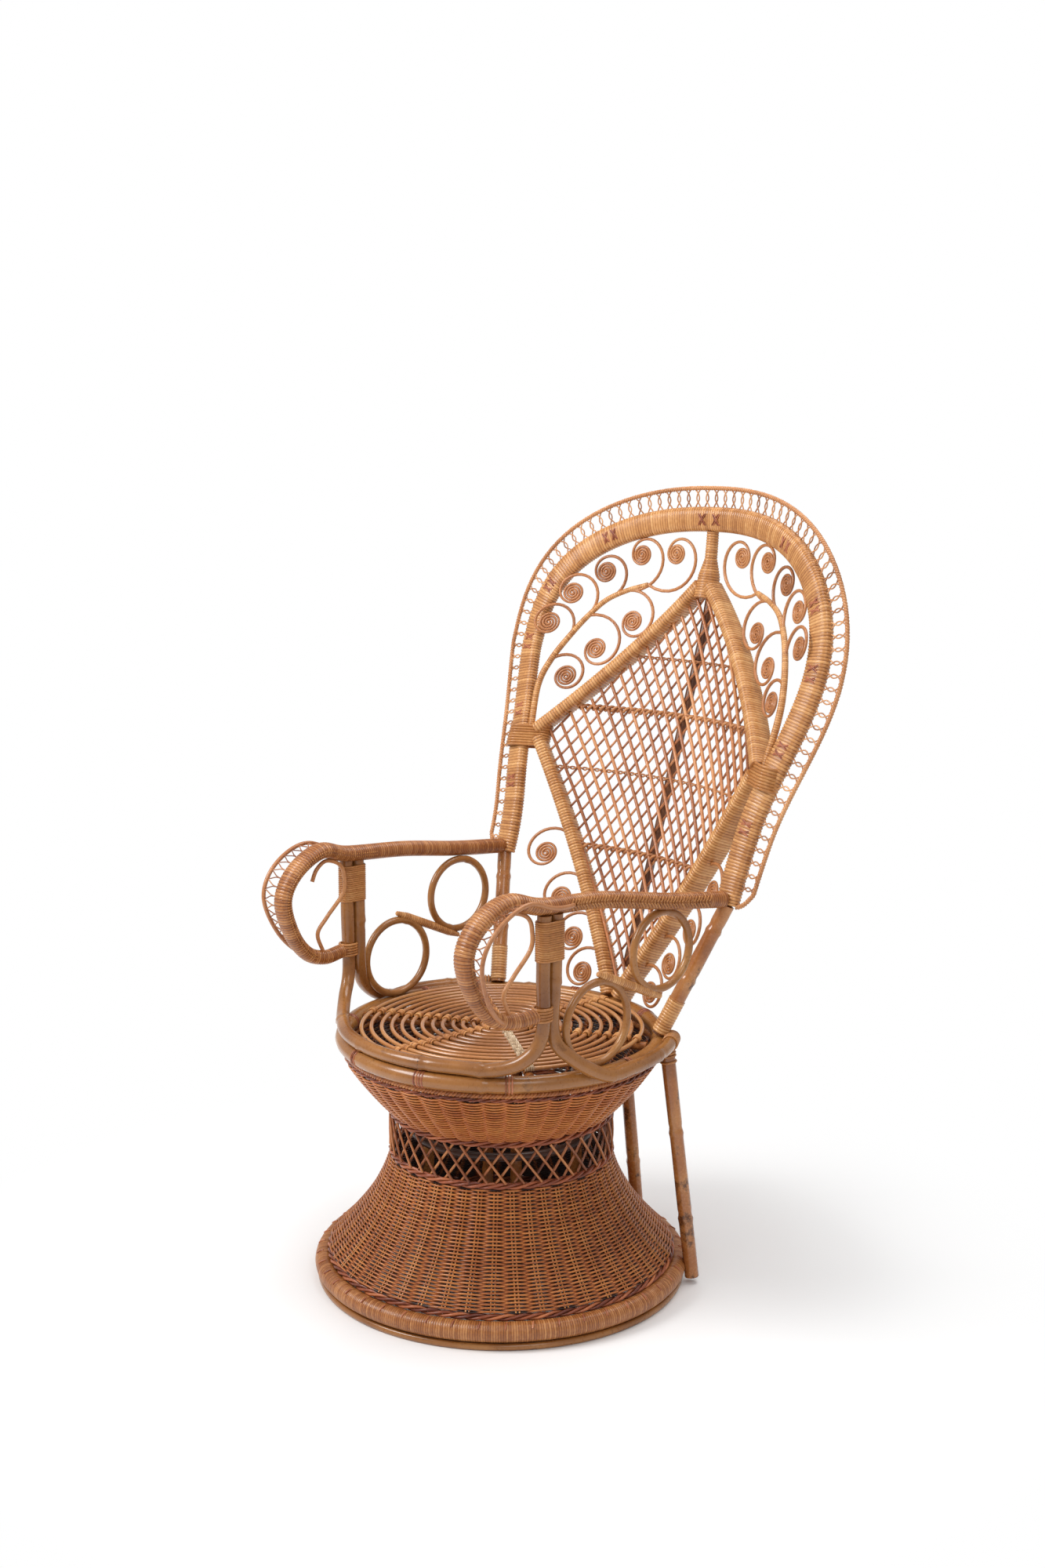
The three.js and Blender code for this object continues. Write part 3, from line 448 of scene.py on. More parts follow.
@dataclass(frozen=True)
class CaneFinish:
    """Varnished cane.

    The fields are the colours from dark to pale, the roughness and the coat, whether the strips of a wrapping
    show, with painted shade in the grooves between them, the strength of stains and the noise at which they
    start, what each strand, broad patches and fine speckles change in the tone, the grain's bump, and the
    waves along a weaver with their change of tone, which is painted shade where it passes behind a stake.
    """

    name: str
    slot: Slot
    dark: Tint
    middle: Tint
    pale: Tint
    roughness: float = 0.38
    coat: float = 0.25
    strips: bool = False
    spots: float = 0.0
    spots_from: float = 0.6
    between: float = 0.2
    broad: float = 0.75
    speckle: float = 0.4
    grain: float = 0.25
    waves: float = 0.0
    recess: float = 0.3

    # Noise of broad patches, of fine speckles and of stains.
    BROAD = {"Scale": 13.0, "Detail": 3.0}
    FINE = {"Scale": 210.0, "Detail": 5.0}
    STAIN = {"Scale": 26.0, "Detail": 6.0, "Roughness": 0.7}
    STAIN_TINT = (70, 34, 16)
    STAIN_EDGE = 0.08
    # Tones that give the dark, the middle and the pale colour.
    TONES = (0.2, 0.52, 0.82)
    # How strips differ from one another, and the painted shade in the groove between two of them.
    STRIP_START, STRIP_SEED = 0.02, 91.0
    STRIP_TONE, STRIP_SHIFT = 0.26, 0.09
    GROOVE_POWER, GROOVE_TONE = 2.0, 0.3
    # Painted shade on a weaver where it passes behind a stake, and at most this share of it as a lift in
    # front.
    SHADE_WAVE_TOP = 0.2
    GRAIN_DEPTH = 0.0006
    GLOSS_RANGE = 0.22
    COAT_ROUGHNESS = 0.12
    SPECULAR = 0.35
    # Sockets of a Mix node that mixes colours, which share their names with other kinds.
    MIX_FACTOR, MIX_FIRST, MIX_SECOND, MIX_RESULT = 0, 6, 7, 2

    def build(self) -> bpy.types.Material:
        """Makes the material.

        Returns:
            The node material.
        """
        material = bpy.data.materials.new(self.name)
        graph = Graph.of(material)
        place = graph.node("ShaderNodeTexCoord", "Object")
        fine = graph.node("ShaderNodeTexNoise", "Fac", {"Vector": place, **self.FINE})
        colour = self._colour(graph, place, self._tone(graph, place, fine))
        bump = graph.node("ShaderNodeBump", "Normal", {
            "Height": fine, "Strength": self.grain, "Distance": self.GRAIN_DEPTH})
        gloss = fine * self.GLOSS_RANGE + (self.roughness - self.GLOSS_RANGE / 2)
        shader = graph.node("ShaderNodeBsdfPrincipled", "BSDF", {
            "Base Color": colour, "Roughness": gloss, "Normal": bump, "Coat Weight": self.coat,
            "Coat Roughness": self.COAT_ROUGHNESS, "Specular IOR Level": self.SPECULAR})
        graph.node("ShaderNodeOutputMaterial", inputs={"Surface": shader})
        return material

    def _tone(self, graph: Graph, place: Sock, fine: Sock) -> Sock:
        """Mixes the tone of the cane: broad and fine patches, strand by strand and strip by strip, with
        painted shade in the grooves between strips and where a weaver passes behind a stake.

        Args:
            graph: The material's graph.
            place: Place on the object.
            fine: Fine noise.

        Returns:
            The tone, dark at 0 and pale at 1.
        """
        broad = graph.node("ShaderNodeTexNoise", "Fac", {"Vector": place, **self.BROAD})
        single = graph.node("ShaderNodeNewGeometry", "Random Per Island")
        tone = broad * self.broad + fine * self.speckle + single * self.between
        tone = tone + (0.5 - (self.broad + self.speckle + self.between) / 2)
        run = graph.node("ShaderNodeTexCoord", "UV")
        along = graph.node("ShaderNodeSeparateXYZ", "X", {"Vector": run})
        if self.strips:
            turn = (along + self.STRIP_START).floor() + single * self.STRIP_SEED
            strip = graph.node("ShaderNodeTexWhiteNoise", "Value", {"W": turn}, noise_dimensions="1D")
            tone = tone + strip * self.STRIP_TONE - self.STRIP_SHIFT
            # Painted shade in the groove between two turns of the strip.
            tone = tone - (along * TAU).cosine().most(0.0).power(self.GROOVE_POWER) * self.GROOVE_TONE
        if self.waves:
            # Painted shade where the weaver passes behind a stake, and a slight lift where it passes in
            # front.
            behind = (along * (self.waves * TAU)).cosine().least(self.SHADE_WAVE_TOP)
            tone = tone + behind * self.recess
        return tone

    def _colour(self, graph: Graph, place: Sock, tone: Sock) -> Sock:
        """Turns the tone into a colour, with stains where the finish has spots.

        Args:
            graph: The material's graph.
            place: Place on the object.
            tone: The tone.

        Returns:
            The colour.
        """
        tints = (self.dark, self.middle, self.pale)
        stops = [(at, linear(*tint)) for at, tint in zip(self.TONES, tints)]
        colour = graph.node("ShaderNodeValToRGB", "Color", {"Fac": tone}, stops=stops)
        if not self.spots:
            return colour
        stain = graph.node("ShaderNodeTexNoise", "Fac", {"Vector": place, **self.STAIN})
        stops = ((self.spots_from, (0.0,) * 3), (self.spots_from + self.STAIN_EDGE, (self.spots,) * 3))
        mask = graph.node("ShaderNodeValToRGB", "Color", {"Fac": stain}, stops=stops)
        mixed = {self.MIX_FACTOR: mask, self.MIX_FIRST: colour,
                 self.MIX_SECOND: (*linear(*self.STAIN_TINT), 1.0)}
        return graph.node("ShaderNodeMix", self.MIX_RESULT, mixed, data_type="RGBA")


class Finishes:
    """All finishes of the chair, made once each."""

    WRAP = CaneFinish("wrap", Slot.WRAPPED, (150, 94, 50), (198, 139, 82), (228, 177, 118), strips=True,
                      broad=0.3)
    # A darker copy of the wrap for the base ring and the arm rails: painted shade for these low parts, which
    # get less light from above than the arch.
    AGED = CaneFinish("aged_wrap", Slot.WRAPPED, (108, 59, 28), (156, 95, 48), (195, 137, 84), strips=True,
                      broad=0.4)
    BINDING = CaneFinish("binding", Slot.WRAPPED, (132, 78, 38), (180, 120, 66), (212, 160, 100),
                         between=0.18, broad=0.4)
    CANE = CaneFinish("cane", Slot.BARE, (100, 54, 24), (156, 102, 50), (202, 150, 90), 0.3, 0.45, spots=0.5,
                      broad=0.6, speckle=0.12, grain=0.05)
    BURNT = CaneFinish("burnt_cane", Slot.BARE, (84, 42, 22), (160, 98, 50), (206, 148, 88), 0.26, 0.5,
                       spots=0.85, spots_from=0.54, speckle=0.15, grain=0.05)
    PALE = CaneFinish("bleached", Slot.BARE, (150, 122, 94), (196, 168, 134), (226, 204, 174), between=0.4)
    ROD = CaneFinish("rod", Slot.ROD, (130, 74, 44), (190, 120, 72), (222, 160, 106), 0.3, 0.5, between=0.4,
                     broad=0.4)
    WAIST = CaneFinish("waist_rod", Slot.ROD, (92, 46, 26), (148, 84, 46), (190, 124, 74), between=0.45)
    SCROLL = CaneFinish("scroll", Slot.ROD, (116, 66, 38), (180, 117, 70), (212, 155, 102), between=0.26,
                        broad=0.4)
    SEAT = CaneFinish("seat_rod", Slot.ROD, (116, 68, 36), (182, 120, 68), (218, 164, 104), 0.24, 0.8,
                      between=0.3, broad=0.4, speckle=0.15, grain=0.05)
    EDGE = CaneFinish("arm_lace", Slot.BRAID, (104, 56, 32), (154, 94, 56), (192, 134, 88), between=0.4,
                      broad=0.4)
    DARK = CaneFinish("dark_stake", Slot.BARE, (38, 20, 14), (70, 40, 26), (120, 76, 48), spots=0.6)
    STAINED = CaneFinish("stained_stake", Slot.BARE, (50, 27, 17), (96, 57, 35), (150, 98, 60), spots=0.6)
    BRAID = CaneFinish("braid", Slot.BRAID, (96, 42, 26), (150, 78, 46), (188, 112, 68), between=0.5)
    ROPE = CaneFinish("rope", Slot.BRAID, (118, 62, 28), (170, 100, 48), (206, 142, 78), between=0.5)
    LACE = CaneFinish("lace", Slot.BRAID, (142, 90, 54), (192, 132, 84), (222, 168, 116), between=0.5)
    # The weaves' recess shade is painted shade: a weaver's tone sinks to the dark tint where it passes behind
    # a stake.
    WEAVE = CaneFinish("weave", Slot.WEAVE, (44, 18, 9), (156, 84, 35), (206, 132, 66), 0.4, 0.3,
                       between=0.16, broad=0.2, waves=23.0, recess=0.56)
    # A lighter copy of the weave for the upper basket: painted light, for strokes that face down and out and
    # get little light from above.
    BASKET = CaneFinish("basket", Slot.WEAVE, (48, 20, 10), (172, 92, 38), (212, 136, 66), 0.4, 0.3,
                        between=0.16, broad=0.2, waves=23.0, recess=0.58)
    STAKE = CaneFinish("stake", Slot.WEAVE, (136, 80, 40), (192, 128, 70), (222, 166, 102), 0.42, 0.25,
                       between=0.4)
    STITCH = CaneFinish("stitch", Slot.WRAPPED, (126, 64, 42), (166, 96, 64), (194, 124, 86), between=0.5)

    def __init__(self) -> None:
        """Starts with no material made."""
        self.made: dict[str, bpy.types.Material] = {}

    def get(self, finish: CaneFinish) -> bpy.types.Material:
        """Gives the material of a finish.

        Args:
            finish: The finish.

        Returns:
            Its material, made at the first call.
        """
        if finish.name not in self.made:
            self.made[finish.name] = finish.build()
        return self.made[finish.name]


@dataclass
class Bench:
    """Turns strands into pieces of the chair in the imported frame.

    Strands are written about the base's axis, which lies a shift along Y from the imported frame's origin.
    """

    shift: float
    finishes: Finishes = field(default_factory=Finishes)
    triangles: int = 0

    # A band is swept lying down, so that its depth follows Y, and then stood up.
    STAND_UP = Matrix(((1, 0, 0, 0), (0, 0, -1, 0), (0, 1, 0, 0), (0, 0, 0, 1)))
    BAND_POINTS, BAND_CORNER = 20, 0.7
    # Least values, which keep a division and a power away from zero.
    LEAST_REACH, LEAST_SHARE = 1e-9, 1e-6

    def piece(self, name: str, strands: Iterable[Strand], finish: CaneFinish, replaces: Sequence[str] = (),
              detail: int = 1, flat: Optional[Pair] = None) -> bpy.types.Object:
        """Makes one piece from strands.

        Args:
            name: Name of the piece.
            strands: Its strands, in millimetres.
            finish: Its finish.
            replaces: CAD nodes that it stands for.
            detail: Roundness of a strand.
            flat: Half width and half depth of a band's outline, in units of the strand's radius; the depth
                lies along Y.

        Returns:
            The piece, as a mesh that rides on the chair.
        """
        strands = list(strands)
        mesh = self._sweep(name, strands, detail, flat)
        if finish.strips:
            self._count_turns(mesh, strands[0])
        mesh.shade_smooth()
        mesh.materials.clear()
        mesh.materials.append(self.finishes.get(finish))
        made = bpy.data.objects.new(name, mesh)
        bpy.context.scene.collection.objects.link(made)
        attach(made, "root")
        if replaces:
            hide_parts(*replaces)
        count = sum(len(p.vertices) - 2 for p in mesh.polygons)
        self.triangles += count
        LOG.info("%s: %d triangles", name, count)
        return made

    def stretch(self, piece: bpy.types.Object, run: np.ndarray, ways: np.ndarray, shares: Numbers,
                square: float = 1.0) -> None:
        """Draws a piece out from its middle line.

        Args:
            piece: The piece.
            run: Its middle line, in millimetres.
            ways: Unit vector, or one for each point, along which it is drawn.
            shares: Growth along the vectors, one or one for each point.
            square: Power that fills the section's corners; 1 keeps it round.
        """
        middle = self._packed(run)
        tree = KDTree(len(middle))
        for i, point in enumerate(middle):
            tree.insert(point, i)
        tree.balance()
        ways = np.broadcast_to(ways, run.shape)
        shares = np.broadcast_to(shares, (len(run),))
        for vertex in piece.data.vertices:
            point, i, _ = tree.find(vertex.co)
            way = Vector(ways[i])
            off = vertex.co - point
            along = way * off.dot(way)
            across = off - along
            reach = max(off.length, self.LEAST_REACH)
            along *= max(along.length / reach, self.LEAST_SHARE) ** (square - 1) * (1 + shares[i])
            across *= max(across.length / reach, self.LEAST_SHARE) ** (square - 1)
            vertex.co = point + along + across

    def _packed(self, points: np.ndarray) -> np.ndarray:
        """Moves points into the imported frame, in metres."""
        return (points - np.array([0.0, self.shift, 0.0])) * MM

    def _sweep(self, name: str, strands: Sequence[Strand], detail: int,
               flat: Optional[Pair]) -> bpy.types.Mesh:
        """Sweeps strands into a mesh by way of a curve.

        Args:
            name: Name of the mesh.
            strands: The strands.
            detail: Roundness of a strand.
            flat: Half width and half depth of a band, if it is one.

        Returns:
            The mesh, with each strand closed at its ends.
        """
        curve = bpy.data.curves.new(name, "CURVE")
        curve.dimensions = "3D"
        curve.use_fill_caps = True
        outline = self._outline(name, flat) if flat else None
        if outline is not None:
            curve.twist_mode = "Z_UP"
            curve.bevel_mode = "OBJECT"
            curve.bevel_object = outline
        else:
            curve.twist_mode = "MINIMUM"
            curve.bevel_depth = 1.0
            curve.bevel_resolution = detail
        for strand in strands:
            self._spline(curve, strand, outline is not None)
        holder = bpy.data.objects.new(name + "_run", curve)
        bpy.context.scene.collection.objects.link(holder)
        ready = holder.evaluated_get(bpy.context.evaluated_depsgraph_get())
        mesh = bpy.data.meshes.new_from_object(ready)
        bpy.data.objects.remove(holder)
        bpy.data.curves.remove(curve)
        if outline is not None:
            bpy.data.objects.remove(outline)
            mesh.transform(self.STAND_UP)
        mesh.name = name
        return mesh

    def _spline(self, curve: bpy.types.Curve, strand: Strand, lying: bool) -> None:
        """Adds a strand to a curve.

        Args:
            curve: The curve.
            strand: The strand.
            lying: Whether the strand is laid down, as a band is.
        """
        spline = curve.splines.new("POLY")
        count = len(strand.points)
        spline.points.add(count - 1)
        place = self._packed(strand.points)
        if lying:
            place = np.stack([place[:, 0], place[:, 2], -place[:, 1]], 1)
        radius = np.broadcast_to(np.asarray(strand.radius, float), (count,))
        spline.points.foreach_set("co", np.hstack([place, np.ones((count, 1))]).ravel())
        spline.points.foreach_set("radius", radius * MM)
        spline.use_cyclic_u = strand.closed
        spline.use_smooth = True

    @staticmethod
    def _count_turns(mesh: bpy.types.Mesh, strand: Strand) -> None:
        """Makes the first map coordinate count the turns of a wrapping.

        Args:
            mesh: Mesh of one wrapped strand.
            strand: The strand.
        """
        layer = mesh.uv_layers[0].uv
        runs = np.empty(len(mesh.loops) * 2)
        layer.foreach_get("vector", runs)
        runs[::2] *= (len(strand.points) - (not strand.closed)) / Winding.STEPS
        layer.foreach_set("vector", runs)

    @classmethod
    def _outline(cls, name: str, flat: Pair) -> bpy.types.Object:
        """Makes the closed outline that a band is swept with.

        Args:
            name: Name of the band.
            flat: Half width and half depth of the band.

        Returns:
            The outline, as a curve object.
        """
        shape = bpy.data.curves.new(name + "_outline", "CURVE")
        shape.dimensions = "2D"
        spline = shape.splines.new("POLY")
        angle = np.linspace(0, TAU, cls.BAND_POINTS, endpoint=False)
        x = flat[0] * np.sign(np.cos(angle)) * np.abs(np.cos(angle)) ** cls.BAND_CORNER
        y = flat[1] * np.sign(np.sin(angle)) * np.abs(np.sin(angle)) ** cls.BAND_CORNER
        spline.points.add(len(angle) - 1)
        spline.points.foreach_set("co", np.stack([x, y, 0 * x, 1 + 0 * x], 1).ravel())
        spline.use_cyclic_u = True
        made = bpy.data.objects.new(name + "_outline", shape)
        bpy.context.scene.collection.objects.link(made)
        return made


def on_rim(angle: Numbers, radius: Numbers, z: Numbers) -> np.ndarray:
    """Gives a point, or one row for each, at an angle from the front on a circle about the base's axis.

    Args:
        angle: Angle in degrees, one or an array.
        radius: Distance from the axis.
        z: Height.

    Returns:
        The point or points.
    """
    turn = np.radians(angle)
    x, y, height = np.broadcast_arrays(radius * np.sin(turn), -radius * np.cos(turn), np.asarray(z, float))
    return np.stack([x, y, height], -1)


@dataclass(frozen=True)
class Border:
    """A level ring of the base: its radius, height and the radius of its section."""

    radius: float
    height: float
    section: float


@dataclass(frozen=True)
class Twine:
    """Strands twisted along a border.

    The fields are their number, reach, radius and pitch, and how far outside and above the border they run.
    """

    strands: int
    reach: float
    size: float
    pitch: float
    out: float = 0.0
    above: float = 0.0

    POINTS_PER_MM = 2.4

    def along(self, border: Border) -> list[Strand]:
        """Gives the twine's strands.

        Args:
            border: The border that it runs along.

        Returns:
            The strands.
        """
        radius = border.radius + self.out
        run = Path.circle(radius, border.height + self.above, int(radius * self.POINTS_PER_MM))
        return Winding.twisted(run, UP, self.strands, self.reach, self.size, self.pitch, True)


@dataclass(frozen=True)
class Wall:
    """The weave of a wall.

    The fields are its hollow, the weavers' pitch and radius, what the radius gains in front of a stake and
    behind one, the height and squareness of the weavers' wave, its steps from stake to stake, how far out the
    stakes stand, and the weavers' finish.
    """

    hollow: float
    pitch: float
    radius: float
    front: float
    behind: float
    wave: float
    edge: float
    steps: int
    stakes_out: float
    finish: CaneFinish

    PLACES = 200

    def profile(self, low: Border, high: Border) -> tuple[np.ndarray, np.ndarray, np.ndarray]:
        """Gives the wall's shape between two borders.

        Args:
            low: The lower border.
            high: The upper border.

        Returns:
            Radius, height and lean at places from low to high.
        """
        t = np.linspace(0, 1, self.PLACES)
        bottom, top = low.height + low.section, high.height - high.section
        radius = low.radius + (high.radius - low.radius) * t - self.hollow * 4 * t * (1 - t)
        height = bottom + (top - bottom) * t
        return radius, height, np.arctan2(np.gradient(radius), np.gradient(height))


@dataclass
class Base:
    """The woven hourglass base, from the floor hoop to the border under the seat."""

    # Ring and floor hoop.
    radius: float = 290.0
    ring_section: float = 15.0
    ring_height: float = 25.3
    ring_inset: float = 0.1
    ring_strip: Pair = (3.5, 0.5)
    floor_height: float = 10.0
    hoop_off: float = 5.4
    hoop_cane: float = 5.2
    stitch: float = 1.2
    stitch_bend: Pair = (38.0, 82.0)
    stitch_lift: float = 0.2
    stitch_slant: float = 0.5
    # Borders and their twines.
    foot: Border = Border(266.0, 42.9, 6.0)
    low: Border = Border(170.0, 202.0, 6.0)
    high: Border = Border(170.0, 266.0, 6.0)
    rim: Border = Border(238.0, 362.7, 7.5)
    braid: Twine = Twine(3, 3.0, 2.4, 66.0)
    rope: Twine = Twine(3, 2.8, 2.6, 16.0, above=1.8)
    edging: Twine = Twine(2, 1.6, 1.8, 34.0, out=1.0, above=-5.4)
    # Walls and waist.
    stakes: int = 46
    stake_off: float = 2.6
    stake_radius: float = 1.35
    skirt: Wall = Wall(hollow=15.0, pitch=2.7, radius=1.6, front=-0.1, behind=0.6, wave=2.6, edge=0.9,
                       steps=5, stakes_out=0.5, finish=Finishes.WEAVE)
    basket: Wall = Wall(hollow=-4.0, pitch=3.1, radius=1.9, front=-0.3, behind=0.9, wave=3.0, edge=0.7,
                        steps=6, stakes_out=-2.4, finish=Finishes.BASKET)
    waist_rods: int = 40
    waist_rod: float = 2.0
    waist_turn: float = 0.24
    waist_layer: float = 2.4
    waist_inset: float = 4.0
    # Posts and hoop inside.
    post_angles: tuple[int, ...] = (60, 120, 240, 300)
    post_circle: float = 122.0
    post_height: float = 378.0
    post_cane: float = 9.0
    post_nodes: tuple[float, ...] = (0.3, 0.72)
    inner_hoop: Border = Border(136.8, 234.0, 6.8)

    HOOP_POINTS, RING_POINTS, POST_POINTS, STITCH_POINTS, ROD_POINTS = 240, 720, 60, 5, 5
    STAKE_STEP = 14

    def build(self, bench: Bench) -> None:
        """Makes the base's pieces.

        Args:
            bench: Where pieces are made.
        """
        self._ring(bench)
        for name, border in (("skirt_foot", self.foot), ("waist_lower", self.low),
                             ("waist_upper", self.high)):
            bench.piece(f"{name}_border_look", self.braid.along(border), Finishes.BRAID, [f"{name}_border"])
        bench.piece("basket_rim_border_look", self.rope.along(self.rim), Finishes.ROPE, ["basket_rim_border"])
        bench.piece("basket_rim_twine", self.edging.along(self.rim), Finishes.BRAID)
        for name, low, high, wall in (("lower_skirt", self.foot, self.low, self.skirt),
                                      ("upper_basket", self.high, self.rim, self.basket)):
            bench.piece(f"{name}_look", self._weavers(low, high, wall), wall.finish, [name])
            bench.piece(f"{name}_stakes", self._stakes(low, high, wall), Finishes.STAKE)
        bench.piece("waist_lattice_look", self._waist(), Finishes.WAIST, ["waist_lattice"])
        self._inside(bench)

    def _ring(self, bench: Bench) -> None:
        """Makes the floor hoop and the wrapped ring with the stitches that hold the skirt.

        Args:
            bench: Where pieces are made.
        """
        middle = self.radius - self.ring_section
        hoops = [Winding.cane(Path.circle(middle + off, self.floor_height / 2, self.HOOP_POINTS),
                              self.hoop_cane, closed=True) for off in (-self.hoop_off, self.hoop_off)]
        bench.piece("floor_hoop_look", hoops, Finishes.CANE, ["floor_hoop"], 2)
        circle = Path.circle(middle, self.ring_height, self.RING_POINTS)
        ring = Winding.wrapped(circle, self.ring_section - self.ring_inset, *self.ring_strip, True)
        bench.piece("base_ring_look", [ring], Finishes.AGED, ["base_ring"], 5)
        bend = np.radians(np.linspace(*self.stitch_bend, self.STITCH_POINTS))
        slant = np.linspace(0, self.stitch_slant, self.STITCH_POINTS)
        reach = self.ring_section + self.stitch_lift
        stitches = []
        for k in range(self.stakes):
            angle = 360 * (k + 0.5) / self.stakes + slant
            line = on_rim(angle, middle + reach * np.cos(bend), self.ring_height + reach * np.sin(bend))
            stitches.append(Strand(line, self.stitch))
        bench.piece("base_ring_stitches", stitches, Finishes.STITCH)

    def _stakes(self, low: Border, high: Border, wall: Wall) -> list[Strand]:
        """Gives the paired stakes of a woven wall.

        Args:
            low: The border under the wall.
            high: The border over it.
            wall: The wall.

        Returns:
            The stakes.
        """
        radius, height, lean = (values[::self.STAKE_STEP] for values in wall.profile(low, high))
        out = radius + wall.stakes_out * np.cos(lean)
        level = height - wall.stakes_out * np.sin(lean)
        made = []
        for k in range(self.stakes):
            for off in (-self.stake_off, self.stake_off):
                angle = 360 * k / self.stakes + np.degrees(off / out)
                made.append(Strand(on_rim(angle, out, level), self.stake_radius))
        return made

    def _weavers(self, low: Border, high: Border, wall: Wall) -> list[Strand]:
        """Gives the weavers of a woven wall, which pass in front of and behind the stakes by turns.

        Args:
            low: The border under the wall.
            high: The border over it.
            wall: The wall.

        Returns:
            One closed strand for each row.
        """
        radius, height, lean = wall.profile(low, high)
        along = Path.lengths(np.stack([radius, height], 1))
        phase = np.linspace(0, self.stakes * math.pi, self.stakes * wall.steps, endpoint=False)
        over = np.cos(phase)
        wave = wall.wave * np.sign(over) * np.abs(over) ** wall.edge
        size = wall.radius + wall.front * over.clip(0) + wall.behind * (-over).clip(0)
        made = []
        for row in range(int(round(along[-1] / wall.pitch))):
            place = (row + 0.5) * wall.pitch
            tilt = np.interp(place, along, lean)
            angle = 2 * phase / self.stakes + TAU / self.stakes * (row % 2)
            out = np.interp(place, along, radius) + wave * np.cos(tilt)
            level = np.interp(place, along, height) - wave * np.sin(tilt)
            made.append(Strand(on_rim(np.degrees(angle), out, level), size, True))
        return made

    def _waist(self) -> list[Strand]:
        """Gives the crossed rods of the open waist.

        Returns:
            The rods, in two layers.
        """
        low, high = self.low.height + self.waist_inset, self.high.height - self.waist_inset
        made = []
        for k in range(self.waist_rods):
            for turn in (self.waist_turn, -self.waist_turn):
                layer = self.low.radius + math.copysign(self.waist_layer, -turn)
                angle = np.linspace(-turn / 2, turn / 2, self.ROD_POINTS) + TAU * k / self.waist_rods
                line = on_rim(np.degrees(angle), layer, np.linspace(low, high, self.ROD_POINTS))
                made.append(Strand(line, self.waist_rod))
        return made

    def _inside(self, bench: Bench) -> None:
        """Makes the posts inside the base and the hoop that ties them.

        Args:
            bench: Where pieces are made.
        """
        posts = []
        for angle in self.post_angles:
            head = on_rim(angle, self.post_circle, self.post_height)
            line = np.linspace(on_rim(angle, self.post_circle, 0), head, self.POST_POINTS)
            posts.append(Winding.cane(line, self.post_cane, self.post_nodes))
        nodes = [f"inner_post_{i}" for i in range(1, len(posts) + 1)]
        bench.piece("inner_posts_look", posts, Finishes.BURNT, nodes, 3)
        circle = Path.circle(self.inner_hoop.radius, self.inner_hoop.height, self.HOOP_POINTS)
        hoop = Winding.cane(circle, self.inner_hoop.section, closed=True)
        bench.piece("inner_waist_hoop_look", [hoop], Finishes.DARK, ["inner_waist_hoop"], 2)


